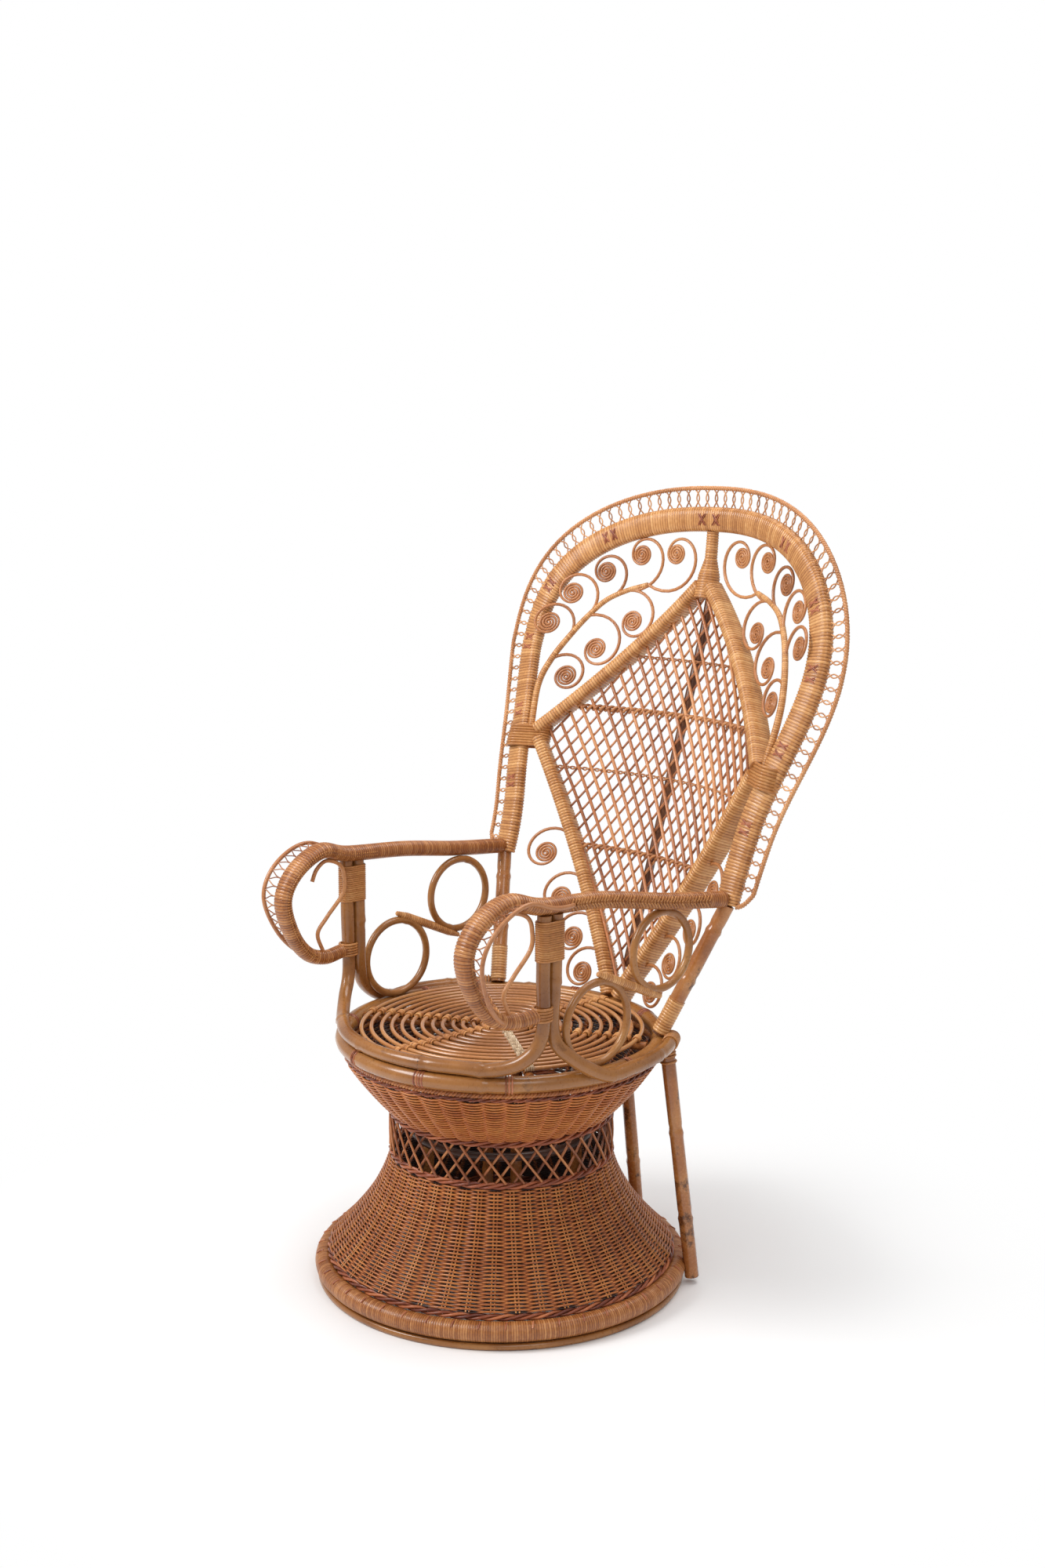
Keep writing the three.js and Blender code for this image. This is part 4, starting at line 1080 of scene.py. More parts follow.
@dataclass
class Seat:
    """The seat's hoop, rim canes, spokes and rods, with the arm posts and the rear legs."""

    base_radius: float
    # Hoop and the bands on it.
    height: float = 382.0
    hoop_radius: float = 242.5
    hoop_section: float = 13.0
    hoop_inset: float = 0.3
    hoop_nodes: tuple[float, ...] = (0.12, 0.37, 0.61, 0.86)
    band_angles: tuple[float, ...] = (-9, 21.5, 52, -52, 98, -98, 160, -160)
    band_turns: tuple[float, ...] = (-1.5, -0.5, 0.5, 1.5)
    band_step: float = 0.75
    band_bed: float = 0.6
    band: float = 1.5
    # Spokes, rods and lashes.
    spoke: float = 7.0
    spoke_angles: tuple[int, ...] = (0, 60, 120)
    spoke_rise: float = 4.0
    spoke_end: float = 1.0
    rod: float = 3.4
    rods: int = 13
    rod_first: float = 28.0
    rod_pitch: float = 15.6
    rod_bed: float = 0.4
    rod_sway: Pair = (0.7, 0.4)
    rod_waves: tuple[int, int] = (3, 2)
    lash: float = 1.4
    lash_step: float = 2.7
    lash_turns: tuple[int, ...] = (-2, -1, 0, 1, 2)
    lash_reach: Pair = (1.4, 1.1)
    lash_bend: Pair = (-25.0, 205.0)
    bleached: int = 60
    # Rim canes and the posts that they rise into.
    cane: float = 10.5
    cane_bed: float = 0.5
    post_angle: float = 62.0
    post_out: float = 17.5
    post_gap: float = 21.6
    post_top: float = 632.0
    post_bend: float = 52.0
    post_lean: float = 4.0
    rim_angles: tuple[float, ...] = (-36, -24, -12, 0, 12, 24, 36)
    rim_nodes: tuple[float, ...] = (-38, -8, 21.5, 43)
    rim_post_nodes: Pair = (0.06, 0.94)
    side_angles: tuple[float, ...] = (84, 96, 108, 120, 130)
    side_node: float = 86.0
    side_post_nodes: Pair = (0.2, 0.82)
    side_bed: float = 3.6
    side_ties: tuple[float, float, int] = (0.95, 0.995, 6)
    node_mark: float = 0.9
    tie: float = 1.9
    tie_lift: float = 0.5
    # Bends below the posts: degrees from the post, share of its reach or distance inward, share of the rise.
    front_bend: tuple[Triple, ...] = ((6.0, 0.75, 0.28), (16.0, 0.25, 0.0))
    side_bend: Triple = (10.0, 5.0, 0.3)
    # Rear legs.
    rear_angle: float = 129.0
    leg: float = 11.0
    leg_out: float = 11.5
    leg_foot: float = 10.0
    leg_bed: float = 1.0
    leg_nodes: tuple[float, ...] = (0.25, 0.62)
    leg_ties: tuple[float, float, int] = (0.93, 0.985, 5)
    leg_tie_lift: float = 0.6

    # A dressed cane is this much thinner than its solid, so that its swellings stay near the solid's face.
    INSET = 0.2
    MARK_INSET = 0.35
    RUN_STEP = 5.0
    HOOP_POINTS, SPOKE_POINTS, ROD_POINTS, LASH_POINTS, LEG_POINTS = 360, 40, 180, 9, 80

    @property
    def rim_height(self) -> float:
        """Height of the front rim cane's middle."""
        return self.height + self.hoop_section + self.cane - self.cane_bed

    @property
    def post(self) -> Pair:
        """Place of the front cane of the right post."""
        point = on_rim(self.post_angle, self.hoop_radius + self.post_out, 0.0)
        return point[0], point[1]

    def build(self, bench: Bench) -> None:
        """Makes the seat's pieces.

        Args:
            bench: Where pieces are made.
        """
        circle = Path.circle(self.hoop_radius, self.height, self.HOOP_POINTS)
        hoop = Winding.cane(circle, self.hoop_section - self.hoop_inset, self.hoop_nodes, True)
        bench.piece("seat_hoop_look", [hoop], Finishes.CANE, ["seat_hoop"], 4)
        bands = []
        for angle in self.band_angles:
            shares = [((angle + k * self.band_step) % 360) / 360 for k in self.band_turns]
            bands += Winding.rings(circle, self.hoop_section - self.band_bed, shares, self.band)
        bench.piece("seat_hoop_bands", bands, Finishes.STITCH)
        self._spokes(bench)
        self._rim(bench)
        for name, angle in (("right", self.rear_angle), ("left", -self.rear_angle), ("centre", 180.0)):
            self._leg(bench, name, angle)

    def _spokes(self, bench: Bench) -> None:
        """Makes the spokes and the rods lashed to them, one spoke with bleached strips.

        Args:
            bench: Where pieces are made.
        """
        level = self.height + self.spoke_rise
        reach = self.hoop_radius - self.hoop_section + self.spoke_end
        bars = []
        for angle in self.spoke_angles:
            line = np.linspace(on_rim(angle, -reach, level), on_rim(angle, reach, level), self.SPOKE_POINTS)
            bars.append(Winding.cane(line, self.spoke - self.INSET))
        bench.piece("seat_spokes_look", bars, Finishes.BURNT, ["seat_spokes"], 2)
        rise = level + self.spoke + self.rod - self.rod_bed
        rings = self.rod_first + self.rod_pitch * np.arange(self.rods)
        turn = np.linspace(0, 360, self.ROD_POINTS, endpoint=False)
        sway = np.radians(turn)
        (aside, upward), (side_waves, up_waves) = self.rod_sway, self.rod_waves
        rods = []
        for r in rings:
            radius = r + aside * np.sin(sway * side_waves + r)
            line = on_rim(turn, radius, rise + upward * np.cos(sway * up_waves + r))
            rods.append(Strand(line, self.rod, True))
        bench.piece("seat_coil_look", rods, Finishes.SEAT, ["seat_coil"], 2)
        lashes: dict[bool, list[Strand]] = {True: [], False: []}
        for angle in range(0, 360, 180 // len(self.spoke_angles)):
            for r in rings:
                lashes[angle == self.bleached] += self._lashes(angle, r, rise)
        bench.piece("seat_lashes", lashes[False], Finishes.STAKE)
        bench.piece("seat_bleached_lashes", lashes[True], Finishes.PALE)

    def _lashes(self, angle: float, radius: float, rise: float) -> list[Strand]:
        """Gives the strips that lash one rod to one spoke.

        Args:
            angle: Angle of the spoke, in degrees.
            radius: Radius of the rod's ring.
            rise: Height of the rod's middle.

        Returns:
            The strips.
        """
        bend = np.radians(np.linspace(*self.lash_bend, self.LASH_POINTS))
        aside, upward = self.lash_reach
        out = radius + (self.rod + aside) * np.cos(bend)
        level = rise + (self.rod + upward) * np.sin(bend)
        turns = [angle + math.degrees(k * self.lash_step / radius) for k in self.lash_turns]
        return [Strand(on_rim(turn, out, level), self.lash) for turn in turns]

    def _post(self, sign: float, back: float) -> list[np.ndarray]:
        """Gives the points of one cane of a post, from its top down to the bend.

        Args:
            sign: Sign of the side's X.
            back: Distance behind the front cane.

        Returns:
            The points.
        """
        px, py = self.post
        bend = self.rim_height + self.post_bend
        heights = (self.post_top, (self.post_top + bend) / 2, bend)
        return [np.array([sign * (px + self.post_lean * s), py + back, z])
                for s, z in zip((1.0, 0.5, 0.0), heights)]

    def _front_end(self, sign: float) -> list[np.ndarray]:
        """Gives the points from a post's top down to the rim, on one side.

        Args:
            sign: Sign of the side's X.

        Returns:
            The points.
        """
        rise, radius, out = self.rim_height, self.hoop_radius, self.post_out
        return self._post(sign, 0.0) + [
            on_rim(sign * (self.post_angle - turn), radius + out * share, rise + self.post_bend * up)
            for turn, share, up in self.front_bend]

    def _rim(self, bench: Bench) -> None:
        """Makes the rim canes that rise into the arm posts, with the dark rings of their nodes.

        Args:
            bench: Where pieces are made.
        """
        front = [on_rim(a, self.hoop_radius, self.rim_height) for a in self.rim_angles]
        run = Path.smooth(self._front_end(-1) + front + self._front_end(1)[::-1], self.RUN_STEP)
        nodes = [Path.share(run, on_rim(a, self.hoop_radius, self.rim_height)) for a in self.rim_nodes]
        nodes += self.rim_post_nodes
        cane = Winding.cane(run, self.cane - self.INSET, nodes)
        bench.piece("front_rim_cane_look", [cane], Finishes.CANE, ["front_rim_cane"], 4)
        marks = Winding.rings(run, self.cane - self.MARK_INSET, nodes, self.node_mark)
        radius = self.hoop_radius + self.hoop_section + self.cane - self.side_bed
        level = self.height + self.hoop_section / 2
        knots = self._post(1, self.post_gap)
        turn, inward, up = self.side_bend
        knots += [on_rim(self.post_angle + turn, radius - inward, self.rim_height + self.post_bend * up)]
        knots += [on_rim(a, radius, level) for a in self.side_angles]
        run = Path.smooth(knots, self.RUN_STEP)
        low, high = self.side_post_nodes
        nodes = (low, Path.share(run, on_rim(self.side_node, radius, level)), high)
        cane = Winding.cane(run, self.cane - self.INSET, nodes)
        rings = Winding.rings(run, self.cane - self.MARK_INSET, nodes, self.node_mark)
        wraps = Winding.rings(run, self.cane + self.tie_lift, np.linspace(*self.side_ties), self.tie)
        for side in Side:
            name = f"side_cane_{side.tag}"
            bench.piece(f"{name}_look", [cane.mirrored(side)], Finishes.CANE, [name], 4)
            marks += [ring.mirrored(side) for ring in rings]
            bench.piece(f"{name}_ties", [wrap.mirrored(side) for wrap in wraps], Finishes.BINDING)
        bench.piece("cane_nodes", marks, Finishes.DARK)

    def _leg(self, bench: Bench, name: str, angle: float) -> None:
        """Makes a rear leg with its bound head.

        Args:
            bench: Where pieces are made.
            name: Name ending of the leg.
            angle: Its angle from the front, in degrees.
        """
        foot = on_rim(angle, self.base_radius + self.leg - self.leg_bed, self.leg_foot)
        head = on_rim(angle, self.hoop_radius + self.leg_out, self.height - self.leg_bed)
        line = np.linspace(foot, head, self.LEG_POINTS)
        cane = Winding.cane(line, self.leg - self.INSET, self.leg_nodes)
        bench.piece(f"rear_leg_{name}_look", [cane], Finishes.BURNT, [f"rear_leg_{name}"], 4)
        wraps = Winding.rings(line, self.leg + self.leg_tie_lift, np.linspace(*self.leg_ties), self.tie)
        bench.piece(f"rear_leg_{name}_ties", wraps, Finishes.BINDING)


@dataclass
class Back:
    """The fan back: arch, kite panel with its lattice, scrolls and lace."""

    seat: Seat
    # Uprights.
    arm_joint: Pair = (256.0, 597.0)
    upright: float = 12.0
    upright_nodes: tuple[float, ...] = (0.42, 0.8)
    upright_bound: tuple[int, int] = (1, 17)
    upright_strip: Pair = (4.6, 0.9)
    # Surface: its lean, the curl of its top and the bow across it.
    lean: float = 0.309
    curl_start: float = 950.0
    curl: float = 0.00069
    bow_low: float = 0.00135
    bow_high: float = 0.00095
    bow_rise: float = 705.0
    # Arch and its stitches.
    arch_width: float = 40.0
    arch_depth: float = 22.0
    arch_strip: Pair = (5.0, 0.07)
    arch_half: float = 317.0
    arch_power: float = 0.85
    arch_ease: float = 0.8
    arch_shoulder: float = 940.0
    arch_top: float = 1157.0
    setback: float = 32.0
    setback_start: float = 700.0
    stitch_places: tuple[float, ...] = (-0.83, -0.66, -0.5, -0.37, -0.19, 0.0, 0.19, 0.37, 0.5, 0.66, 0.83)
    stitch_pairs: tuple[float, ...] = (-0.0104, -0.008, 0.008, 0.0104)
    stitch_slant: float = 0.0045
    stitch_half: float = 9.0
    stitch: float = 1.0
    # Kite: corner, members, apex post and bindings.
    kite_corner: Pair = (249.0, 786.0)
    kite_apex: float = 1050.0
    kite_foot: float = 404.0
    member: Pair = (9.5, 18.0)
    member_strip: Pair = (5.0, 0.9)
    member_square: float = 0.6
    member_gap: float = 2.0
    foot_ease: tuple[float, ...] = (1.0, 0.6, 0.2)
    upper_ends: Pair = (6.0, 10.0)
    strip: float = 1.2
    apex_web: float = 21.0
    apex_post: float = 10.0
    apex_strip: Pair = (4.4, 0.8)
    apex_places: tuple[float, ...] = (0.0, 0.35, 0.6, 1.0)
    web_share: float = 0.86
    post_flare: float = 0.5
    binding_out: float = 17.0
    binding_back: float = 4.0
    binding_half: Pair = (19.0, 16.5)
    binding_chord: float = 20.0
    binding_pitch: float = 4.4
    binding_turns: int = 8
    binding_strip: float = 2.5
    # Lattice, weavers and the stake behind them.
    lattice_pitch: float = 23.0
    lattice_slope: float = 1.5
    lattice_layer: float = 2.3
    lattice_rods: Pair = (2.15, 2.85)
    lattice_ends: Pair = (6.0, 4.0)
    weaver: Pair = (1.25, 0.85)
    weaver_rows: tuple[Pair, ...] = ((0.33, 3.0), (0.52, 1.7), (0.675, 3.0), (0.81, 1.7))
    stake: float = 7.4
    stake_foot: float = 36.0
    stake_back: float = 10.0
    stake_nodes: tuple[float, ...] = (0.35, 0.7)
    # Lace.
    lace_width: Pair = (33.0, 27.0)
    lace_pitch: float = 20.0
    lace_end: float = 0.035
    lace_bed: float = 2.0
    lace_rope: Triple = (1.8, 2.2, 9.0)
    lace_span: float = 0.985
    lace_cord: float = 1.15
    rope_inset: float = 1.0
    net_bed: float = 1.0
    net_short: float = 3.0
    # Scrolls and the trunks of their trees.
    scroll_root: float = 2.7
    scroll_rod: float = 2.25
    scroll_outer: float = 17.0
    scroll_eye: float = 0.7
    scroll_turns: float = 3.6
    scroll_swing: float = 0.8
    scroll_ease: float = 1.5
    trunk: Pair = (6.0, 4.2)
    trunk_strip: Pair = (3.6, 0.4)
    lower_scrolls: tuple[float, ...] = (0.58, 0.4, 0.242, 0.106)
    lower_place: Pair = (43.0, -26.0)
    lower_start: float = 2.0

    ARCH_POINTS, MEMBER_POINTS, POST_POINTS, NET_POINTS, STITCH_POINTS = 900, 40, 60, 700, 9
    ARCH_STEP, ROPE_STEP, TRUNK_STEP, CORD_STEP, LATTICE_STEP = 1.1, 1.6, 2.0, 2.0, 6.0
    SCROLL_POINTS, LEAST_ROD = 30, 4
    # Place of the arch's shoulder, 0 being its top and 1 its foot, and half the span of its tangents.
    SHOULDER, TANGENT_STEP = 0.5, 0.01
    # Shares of a lace mesh's depth, and how far its two cords lie apart there as shares of the pitch.
    NET_OUT = np.array([0.0, 0.12, 0.28, 0.38, 0.5, 0.62, 0.76, 0.88, 1.0])
    NET_APART = np.array([0.26, 0.17, 0.0, -0.1, -0.14, -0.1, 0.0, 0.15, 0.3])

    @property
    def base(self) -> float:
        """Height at which the back rises from the seat's hoop."""
        return self.seat.height + self.seat.hoop_section

    @property
    def inset(self) -> float:
        """Distance of a lower member's foot from the middle line."""
        return self.member[0] + self.member_gap

    def at(self, x: Numbers, z: Numbers, ahead: Numbers = 0.0) -> np.ndarray:
        """Gives points of the back's surface.

        Args:
            x: Width, one or an array.
            z: Height, one or an array.
            ahead: Distance in front of the surface.

        Returns:
            The point, or one row for each.
        """
        x, z = np.broadcast_arrays(np.asarray(x, float), np.asarray(z, float))
        curl = np.maximum(0.0, z - self.curl_start)
        middle = self.seat.hoop_radius + self.lean * (z - self.base) - self.curl * curl**2
        bow = self.bow_low + (self.bow_high - self.bow_low) * (z - self.base) / self.bow_rise
        return np.stack([x, middle - bow * x * x - ahead, z], -1)

    def normal(self, points: np.ndarray) -> np.ndarray:
        """Gives the forward normals of the surface.

        Args:
            points: A point, or one row for each.

        Returns:
            Unit vectors.
        """
        x, z = points[..., 0], points[..., 2]
        out = np.cross(self.at(x + 1, z) - self.at(x - 1, z), self.at(x, z + 1) - self.at(x, z - 1))
        return out / np.linalg.norm(out, axis=-1, keepdims=True)

    @classmethod
    def _drop(cls, t: Numbers) -> Numbers:
        """Gives how far below the shoulder places on the arch lie, as shares of the way to the foot."""
        return np.clip((np.abs(t) - cls.SHOULDER) / (1 - cls.SHOULDER), 0, None)

    def _arch_flat(self, t: np.ndarray) -> tuple[np.ndarray, np.ndarray]:
        """Gives the arch's middle line seen from the front.

        Args:
            t: Places from -1, the left foot, to 1, the right one.

        Returns:
            Widths and heights.
        """
        u = np.abs(t)
        below = u > self.SHOULDER
        drop = self._drop(t)
        ease = np.sin(math.pi / 2 * np.clip(drop, 0, 1) ** self.arch_ease) ** 2
        angle = np.minimum(u / self.SHOULDER, 1) * math.pi / 2
        low = self.arch_half + (self.arm_joint[0] - self.arch_half) * ease
        x = np.where(below, low, self.arch_half * np.sin(angle) ** self.arch_power)
        rise = (self.arch_top - self.arch_shoulder) * np.maximum(0, np.cos(angle)) ** self.arch_power
        fall = (self.arm_joint[1] - self.arch_shoulder) * drop
        return np.sign(t) * x, self.arch_shoulder + np.where(below, fall, rise)

    def arch(self, t: Numbers, out: Numbers = 0.0) -> np.ndarray:
        """Gives points along the arch, which stands back from the surface at its widest.

        Args:
            t: Places from -1, the left foot, to 1, the right one.
            out: Distance outside the arch's middle line.

        Returns:
            The points.
        """
        t = np.asarray(t, float)
        x, z = self._arch_flat(t)
        x0, z0 = self._arch_flat(t - self.TANGENT_STEP)
        x1, z1 = self._arch_flat(t + self.TANGENT_STEP)
        run = np.hypot(x1 - x0, z1 - z0)
        share = np.clip((z - self.setback_start) / (self.arch_top - self.setback_start), 0, 1)
        point = self.at(x, z, -self.setback * np.sin(math.pi * share) ** 2)
        return point + np.stack([-(z1 - z0) / run * out, 0 * run, (x1 - x0) / run * out], -1)

    def build(self, bench: Bench) -> None:
        """Makes the back's pieces.

        Args:
            bench: Where pieces are made.
        """
        self._arch(bench)
        self._kite(bench)
        self._lattice(bench)
        for side in Side:
            self._upright(bench, side)
            self._tree(bench, side)
            self._lower_scrolls(bench, side)
        self._lace(bench)

    def _upright(self, bench: Bench, side: Side) -> None:
        """Makes the bare upright between the seat and the arch, with its bound foot.

        Args:
            bench: Where pieces are made.
            side: Side of the chair.
        """
        name = f"upright_{side.tag}"
        foot = on_rim(self.seat.rear_angle, self.seat.hoop_radius, self.base)
        line = np.linspace(foot, self.at(*self.arm_joint), self.POST_POINTS)
        cane = Winding.cane(line, self.upright - self.seat.INSET, self.upright_nodes).mirrored(side)
        bench.piece(f"{name}_look", [cane], Finishes.BURNT, [name], 4)
        bound = line[slice(*self.upright_bound)]
        wraps = Winding.wrapped(bound, self.upright + self.strip, *self.upright_strip).mirrored(side)
        bench.piece(f"{name}_wraps", [wraps], Finishes.WRAP, detail=4)

    def _arch(self, bench: Bench) -> None:
        """Makes the wrapped arch band and its cross stitches.

        Args:
            bench: Where pieces are made.
        """
        half, deep = self.arch_width / 2, self.arch_depth / 2
        run = Path.spaced(self.arch(np.linspace(-1, 1, self.ARCH_POINTS)), self.ARCH_STEP)
        band = Winding.wrapped(run, 1.0, *self.arch_strip)
        bench.piece("arch_frame_look", [band], Finishes.WRAP, ["arch_frame"], flat=(half, deep))
        across = np.linspace(-self.stitch_half, self.stitch_half, self.STITCH_POINTS)
        ahead = np.zeros((len(across), 3))
        ahead[:, 1] = deep * np.sqrt(1 - (across / half) ** 2) + self.stitch
        stitches = []
        for place in self.stitch_places:
            for shift in self.stitch_pairs:
                for slant in (-self.stitch_slant, self.stitch_slant):
                    line = self.arch(place + shift + slant * across / self.stitch_half, across)
                    stitches.append(Strand(line - ahead, self.stitch))
        bench.piece("arch_stitches", stitches, Finishes.STITCH)

    def _kite(self, bench: Bench) -> None:
        """Makes the kite's wrapped members, bindings and apex post.

        Args:
            bench: Where pieces are made.
        """
        half, deep = self.member
        x, z = self.kite_corner
        t = np.linspace(0, 1, self.MEMBER_POINTS)
        lower = self.at(self.inset + (x - self.inset) * t, self.kite_foot + (z - self.kite_foot) * t)
        foot = np.array([self.inset, self.seat.hoop_radius, self.base])
        ease = np.array(self.foot_ease)[:, None]
        lower[:len(ease)] += (foot - lower[0]) * ease
        start = z + self.inset
        outer, inner = x + self.upper_ends[0], self.upper_ends[1]
        upper = self.at(outer + (inner - outer) * t, start + (self.kite_apex - start) * t)
        thick = half + self.strip
        for side in Side:
            for part, line in (("lower", lower), ("upper", upper)):
                name = f"kite_{part}_{side.tag}"
                strand = Winding.wrapped(line, thick, *self.member_strip).mirrored(side)
                made = bench.piece(f"{name}_look", [strand], Finishes.WRAP, [name], 5)
                bench.stretch(made, strand.points, self.normal(strand.points), (deep - half) / thick,
                              self.member_square)
            self._binding(bench, side)
        share = np.linspace(0, 1, self.POST_POINTS)
        heights = np.linspace(self.kite_apex - self.apex_web, self.arch_top - self.arch_width / 2, len(share))
        sizes = (self.apex_web, self.apex_web * self.web_share, self.apex_post + self.post_flare,
                 self.apex_post)
        size = np.interp(share, self.apex_places, sizes)
        post = Winding.wrapped(self.at(0, heights), size, *self.apex_strip)
        bench.piece("apex_post_look", [post], Finishes.WRAP, ["apex_post"], 4)

    def _binding(self, bench: Bench, side: Side) -> None:
        """Makes the strip bound round the arch and the kite's side corner.

        Args:
            bench: Where pieces are made.
            side: Side of the chair.
        """
        half, deep = self.binding_half
        x, z = self._corner(self.binding_out, 0.0)
        wide = self.at(x + self.binding_chord, z) - self.at(x, z)
        wide = wide / np.linalg.norm(wide) * half
        middle = self.at(x, z, -self.binding_back)
        face = self.normal(middle) * deep
        rise = self.at(x, z + self.binding_pitch) - self.at(x, z)
        loops = Winding.loops(middle, wide, face, rise, self.binding_turns, self.binding_strip)
        name = f"kite_binding_{side.tag}"
        bench.piece(f"{name}_look", [loop.mirrored(side) for loop in loops], Finishes.BINDING, [name])

    def _kite_half(self, z: Numbers) -> Numbers:
        """Gives the half width of the kite's opening.

        Args:
            z: Height, one or an array.

        Returns:
            The half width, for each height.
        """
        corner_x, corner_z = self.kite_corner
        above = (self.kite_apex - z) / (self.kite_apex - corner_z)
        below = (z - self.kite_foot) / (corner_z - self.kite_foot)
        return corner_x * np.clip(np.minimum(above, below), 0, 1)

    def _lattice(self, bench: Bench) -> None:
        """Makes the kite's crossed rods, its weavers and the dark stake behind them.

        Args:
            bench: Where pieces are made.
        """
        rods = []
        tall = self.kite_apex - self.kite_foot
        middle = (self.kite_apex + self.kite_foot) / 2
        low, high = self.lattice_ends
        heights = np.arange(self.kite_foot + low, self.kite_apex - high, self.LATTICE_STEP)
        most = int((self.kite_corner[0] + tall / 2 / self.lattice_slope) / self.lattice_pitch) + 1
        for k in range(-most, most + 1):
            for way, size in zip((1, -1), self.lattice_rods):
                x = k * self.lattice_pitch + way * (heights - middle) / self.lattice_slope
                inside = np.abs(x) <= self._kite_half(heights)
                if inside.sum() >= self.LEAST_ROD:
                    line = self.at(x[inside], heights[inside], -way * self.lattice_layer)
                    rods.append(Strand(line, size))
        bench.piece("kite_lattice_look", rods, Finishes.ROD, ["kite_lattice"])
        weavers = []
        for share, size in self.weaver_rows:
            z = self.kite_foot + tall * share
            reach = float(self._kite_half(z))
            run = self.at(np.linspace(-reach, reach, int(reach)), z)
            reach, thick = size * self.weaver[0], size * self.weaver[1]
            weavers += Winding.twisted(run, UP, 2, reach, thick, self.lattice_pitch)
        bench.piece("kite_weavers", weavers, Finishes.SCROLL)
        low = self.kite_foot + self.stake_foot
        heights = np.linspace(low, self.kite_apex - self.apex_web, self.POST_POINTS)
        stake = Winding.cane(self.at(0, heights, -self.stake_back), self.stake, self.stake_nodes)
        bench.piece("centre_stake_look", [stake], Finishes.STAINED, ["centre_stake"], 2)

    def scroll(self, centre: Pair, start: Pair, sense: int) -> Strand:
        """Gives a rod that leaves its carrier, swings round a centre and winds in.

        Args:
            centre: Width and height of the eye.
            start: Width and height where it leaves the carrier.
            sense: 1 to wind one way, -1 the other.

        Returns:
            The strand, which thins as it swings.
        """
        swing = self.scroll_swing
        whole = swing + self.scroll_turns
        turn = np.linspace(0, whole, int(whole * self.SCROLL_POINTS))
        first = math.hypot(start[0] - centre[0], start[1] - centre[1])
        left = np.maximum(0, 1 - turn / swing)
        wound = np.maximum(0, turn - swing) / self.scroll_turns
        radius = self.scroll_outer + (first - self.scroll_outer) * left**self.scroll_ease
        radius -= (self.scroll_outer - self.scroll_eye) * wound
        angle = math.atan2(start[1] - centre[1], start[0] - centre[0]) + sense * turn * TAU
        line = self.at(centre[0] + radius * np.cos(angle), centre[1] + radius * np.sin(angle))
        return Strand(line, np.interp(turn, (0.5 * swing, swing), (self.scroll_root, self.scroll_rod)))

    def _corner(self, across: float, above: float) -> Pair:
        """Gives a place set out from the kite's side corner."""
        return self.kite_corner[0] + across, self.kite_corner[1] + above

    def _crown(self, x: float, drop: float) -> Pair:
        """Gives a place set out from the middle line and the top of the arch."""
        return x, self.arch_top - drop

    def _tree(self, bench: Bench, side: Side) -> None:
        """Makes the tree of scrolls above the kite.

        Args:
            bench: Where pieces are made.
            side: Side of the chair.
        """
        corner, crown = self._corner, self._crown
        trunk = [corner(16, 14), corner(22, 86), corner(12, 130), corner(-9, 172),
                 crown(218, 166), crown(192, 139), crown(158, 122), crown(122, 111)]
        run = Path.smooth([self.at(*p) for p in trunk], self.TRUNK_STEP)
        stem = Winding.wrapped(run, np.linspace(*self.trunk, len(run)), *self.trunk_strip).mirrored(side)
        bench.piece(f"scroll_trunk_{side.tag}", [stem], Finishes.WRAP, detail=2)
        outer = [(crown(280, 180), trunk[3]), (crown(252, 129), trunk[4]), (crown(201, 92), trunk[5]),
                 (crown(140, 62), trunk[6]), (crown(73, 58), trunk[7])]
        inner = [(corner(-18, 103), trunk[2]), (crown(193, 221), trunk[4]), (crown(139, 173), trunk[6])]
        strands = [self.scroll(c, s, -1).mirrored(side) for c, s in outer]
        strands += [self.scroll(c, s, 1).mirrored(side) for c, s in inner]
        bench.piece(f"scroll_tree_{side.tag}_look", strands, Finishes.SCROLL, [f"scroll_tree_{side.tag}"], 2)

    def _lower_scrolls(self, bench: Bench, side: Side) -> None:
        """Makes the scrolls beside the kite's lower members.

        Args:
            bench: Where pieces are made.
            side: Side of the chair.
        """
        across, above = self.lower_place
        for i, share in enumerate(self.lower_scrolls, 1):
            name = f"lower_scroll_{i}_{side.tag}"
            x = self.inset + (self.kite_corner[0] - self.inset) * share
            z = self.kite_foot + (self.kite_corner[1] - self.kite_foot) * share
            strand = self.scroll((x + across, z + above), (x + self.lower_start, z), -1).mirrored(side)
            bench.piece(f"{name}_look", [strand], Finishes.SCROLL, [name], 2)

    def _lace(self, bench: Bench) -> None:
        """Makes the netting round the arch and its outer rope.

        Args:
            bench: Where pieces are made.
        """
        edge = self.arch_width / 2
        t = np.linspace(-1, 1, self.ARCH_POINTS)
        closing = np.sqrt(np.clip((1 - np.abs(t)) / self.lace_end, 0, 1))
        out = edge - self.lace_bed + (self._lace_at(t) - self.rope_inset) * closing
        run = Path.spaced(self.arch(t, out), self.ROPE_STEP)
        rope = Winding.twisted(run, np.array([0.0, -1.0, 0.0]), 2, *self.lace_rope)
        bench.piece("back_lace_look", rope, Finishes.LACE, ["back_lace"])
        t = np.linspace(-self.lace_span, self.lace_span, self.NET_POINTS)
        along = Path.lengths(self.arch(t, edge + self._lace_at(t) / 2))
        net = []
        for place in np.arange(self.lace_pitch / 2, along[-1], self.lace_pitch):
            for way in (-1, 1):
                spot = np.interp(place + way * self.lace_pitch * self.NET_APART, along, t)
                reach = edge - self.net_bed + (self._lace_at(spot) - self.net_short) * self.NET_OUT
                net.append(Strand(Path.smooth(self.arch(spot, reach), self.CORD_STEP), self.lace_cord))
        bench.piece("back_lace_net", net, Finishes.LACE)

    def _lace_at(self, t: Numbers) -> Numbers:
        """Gives the width of the lace at places along the arch."""
        wide, narrow = self.lace_width
        return wide + (narrow - wide) * self._drop(t)


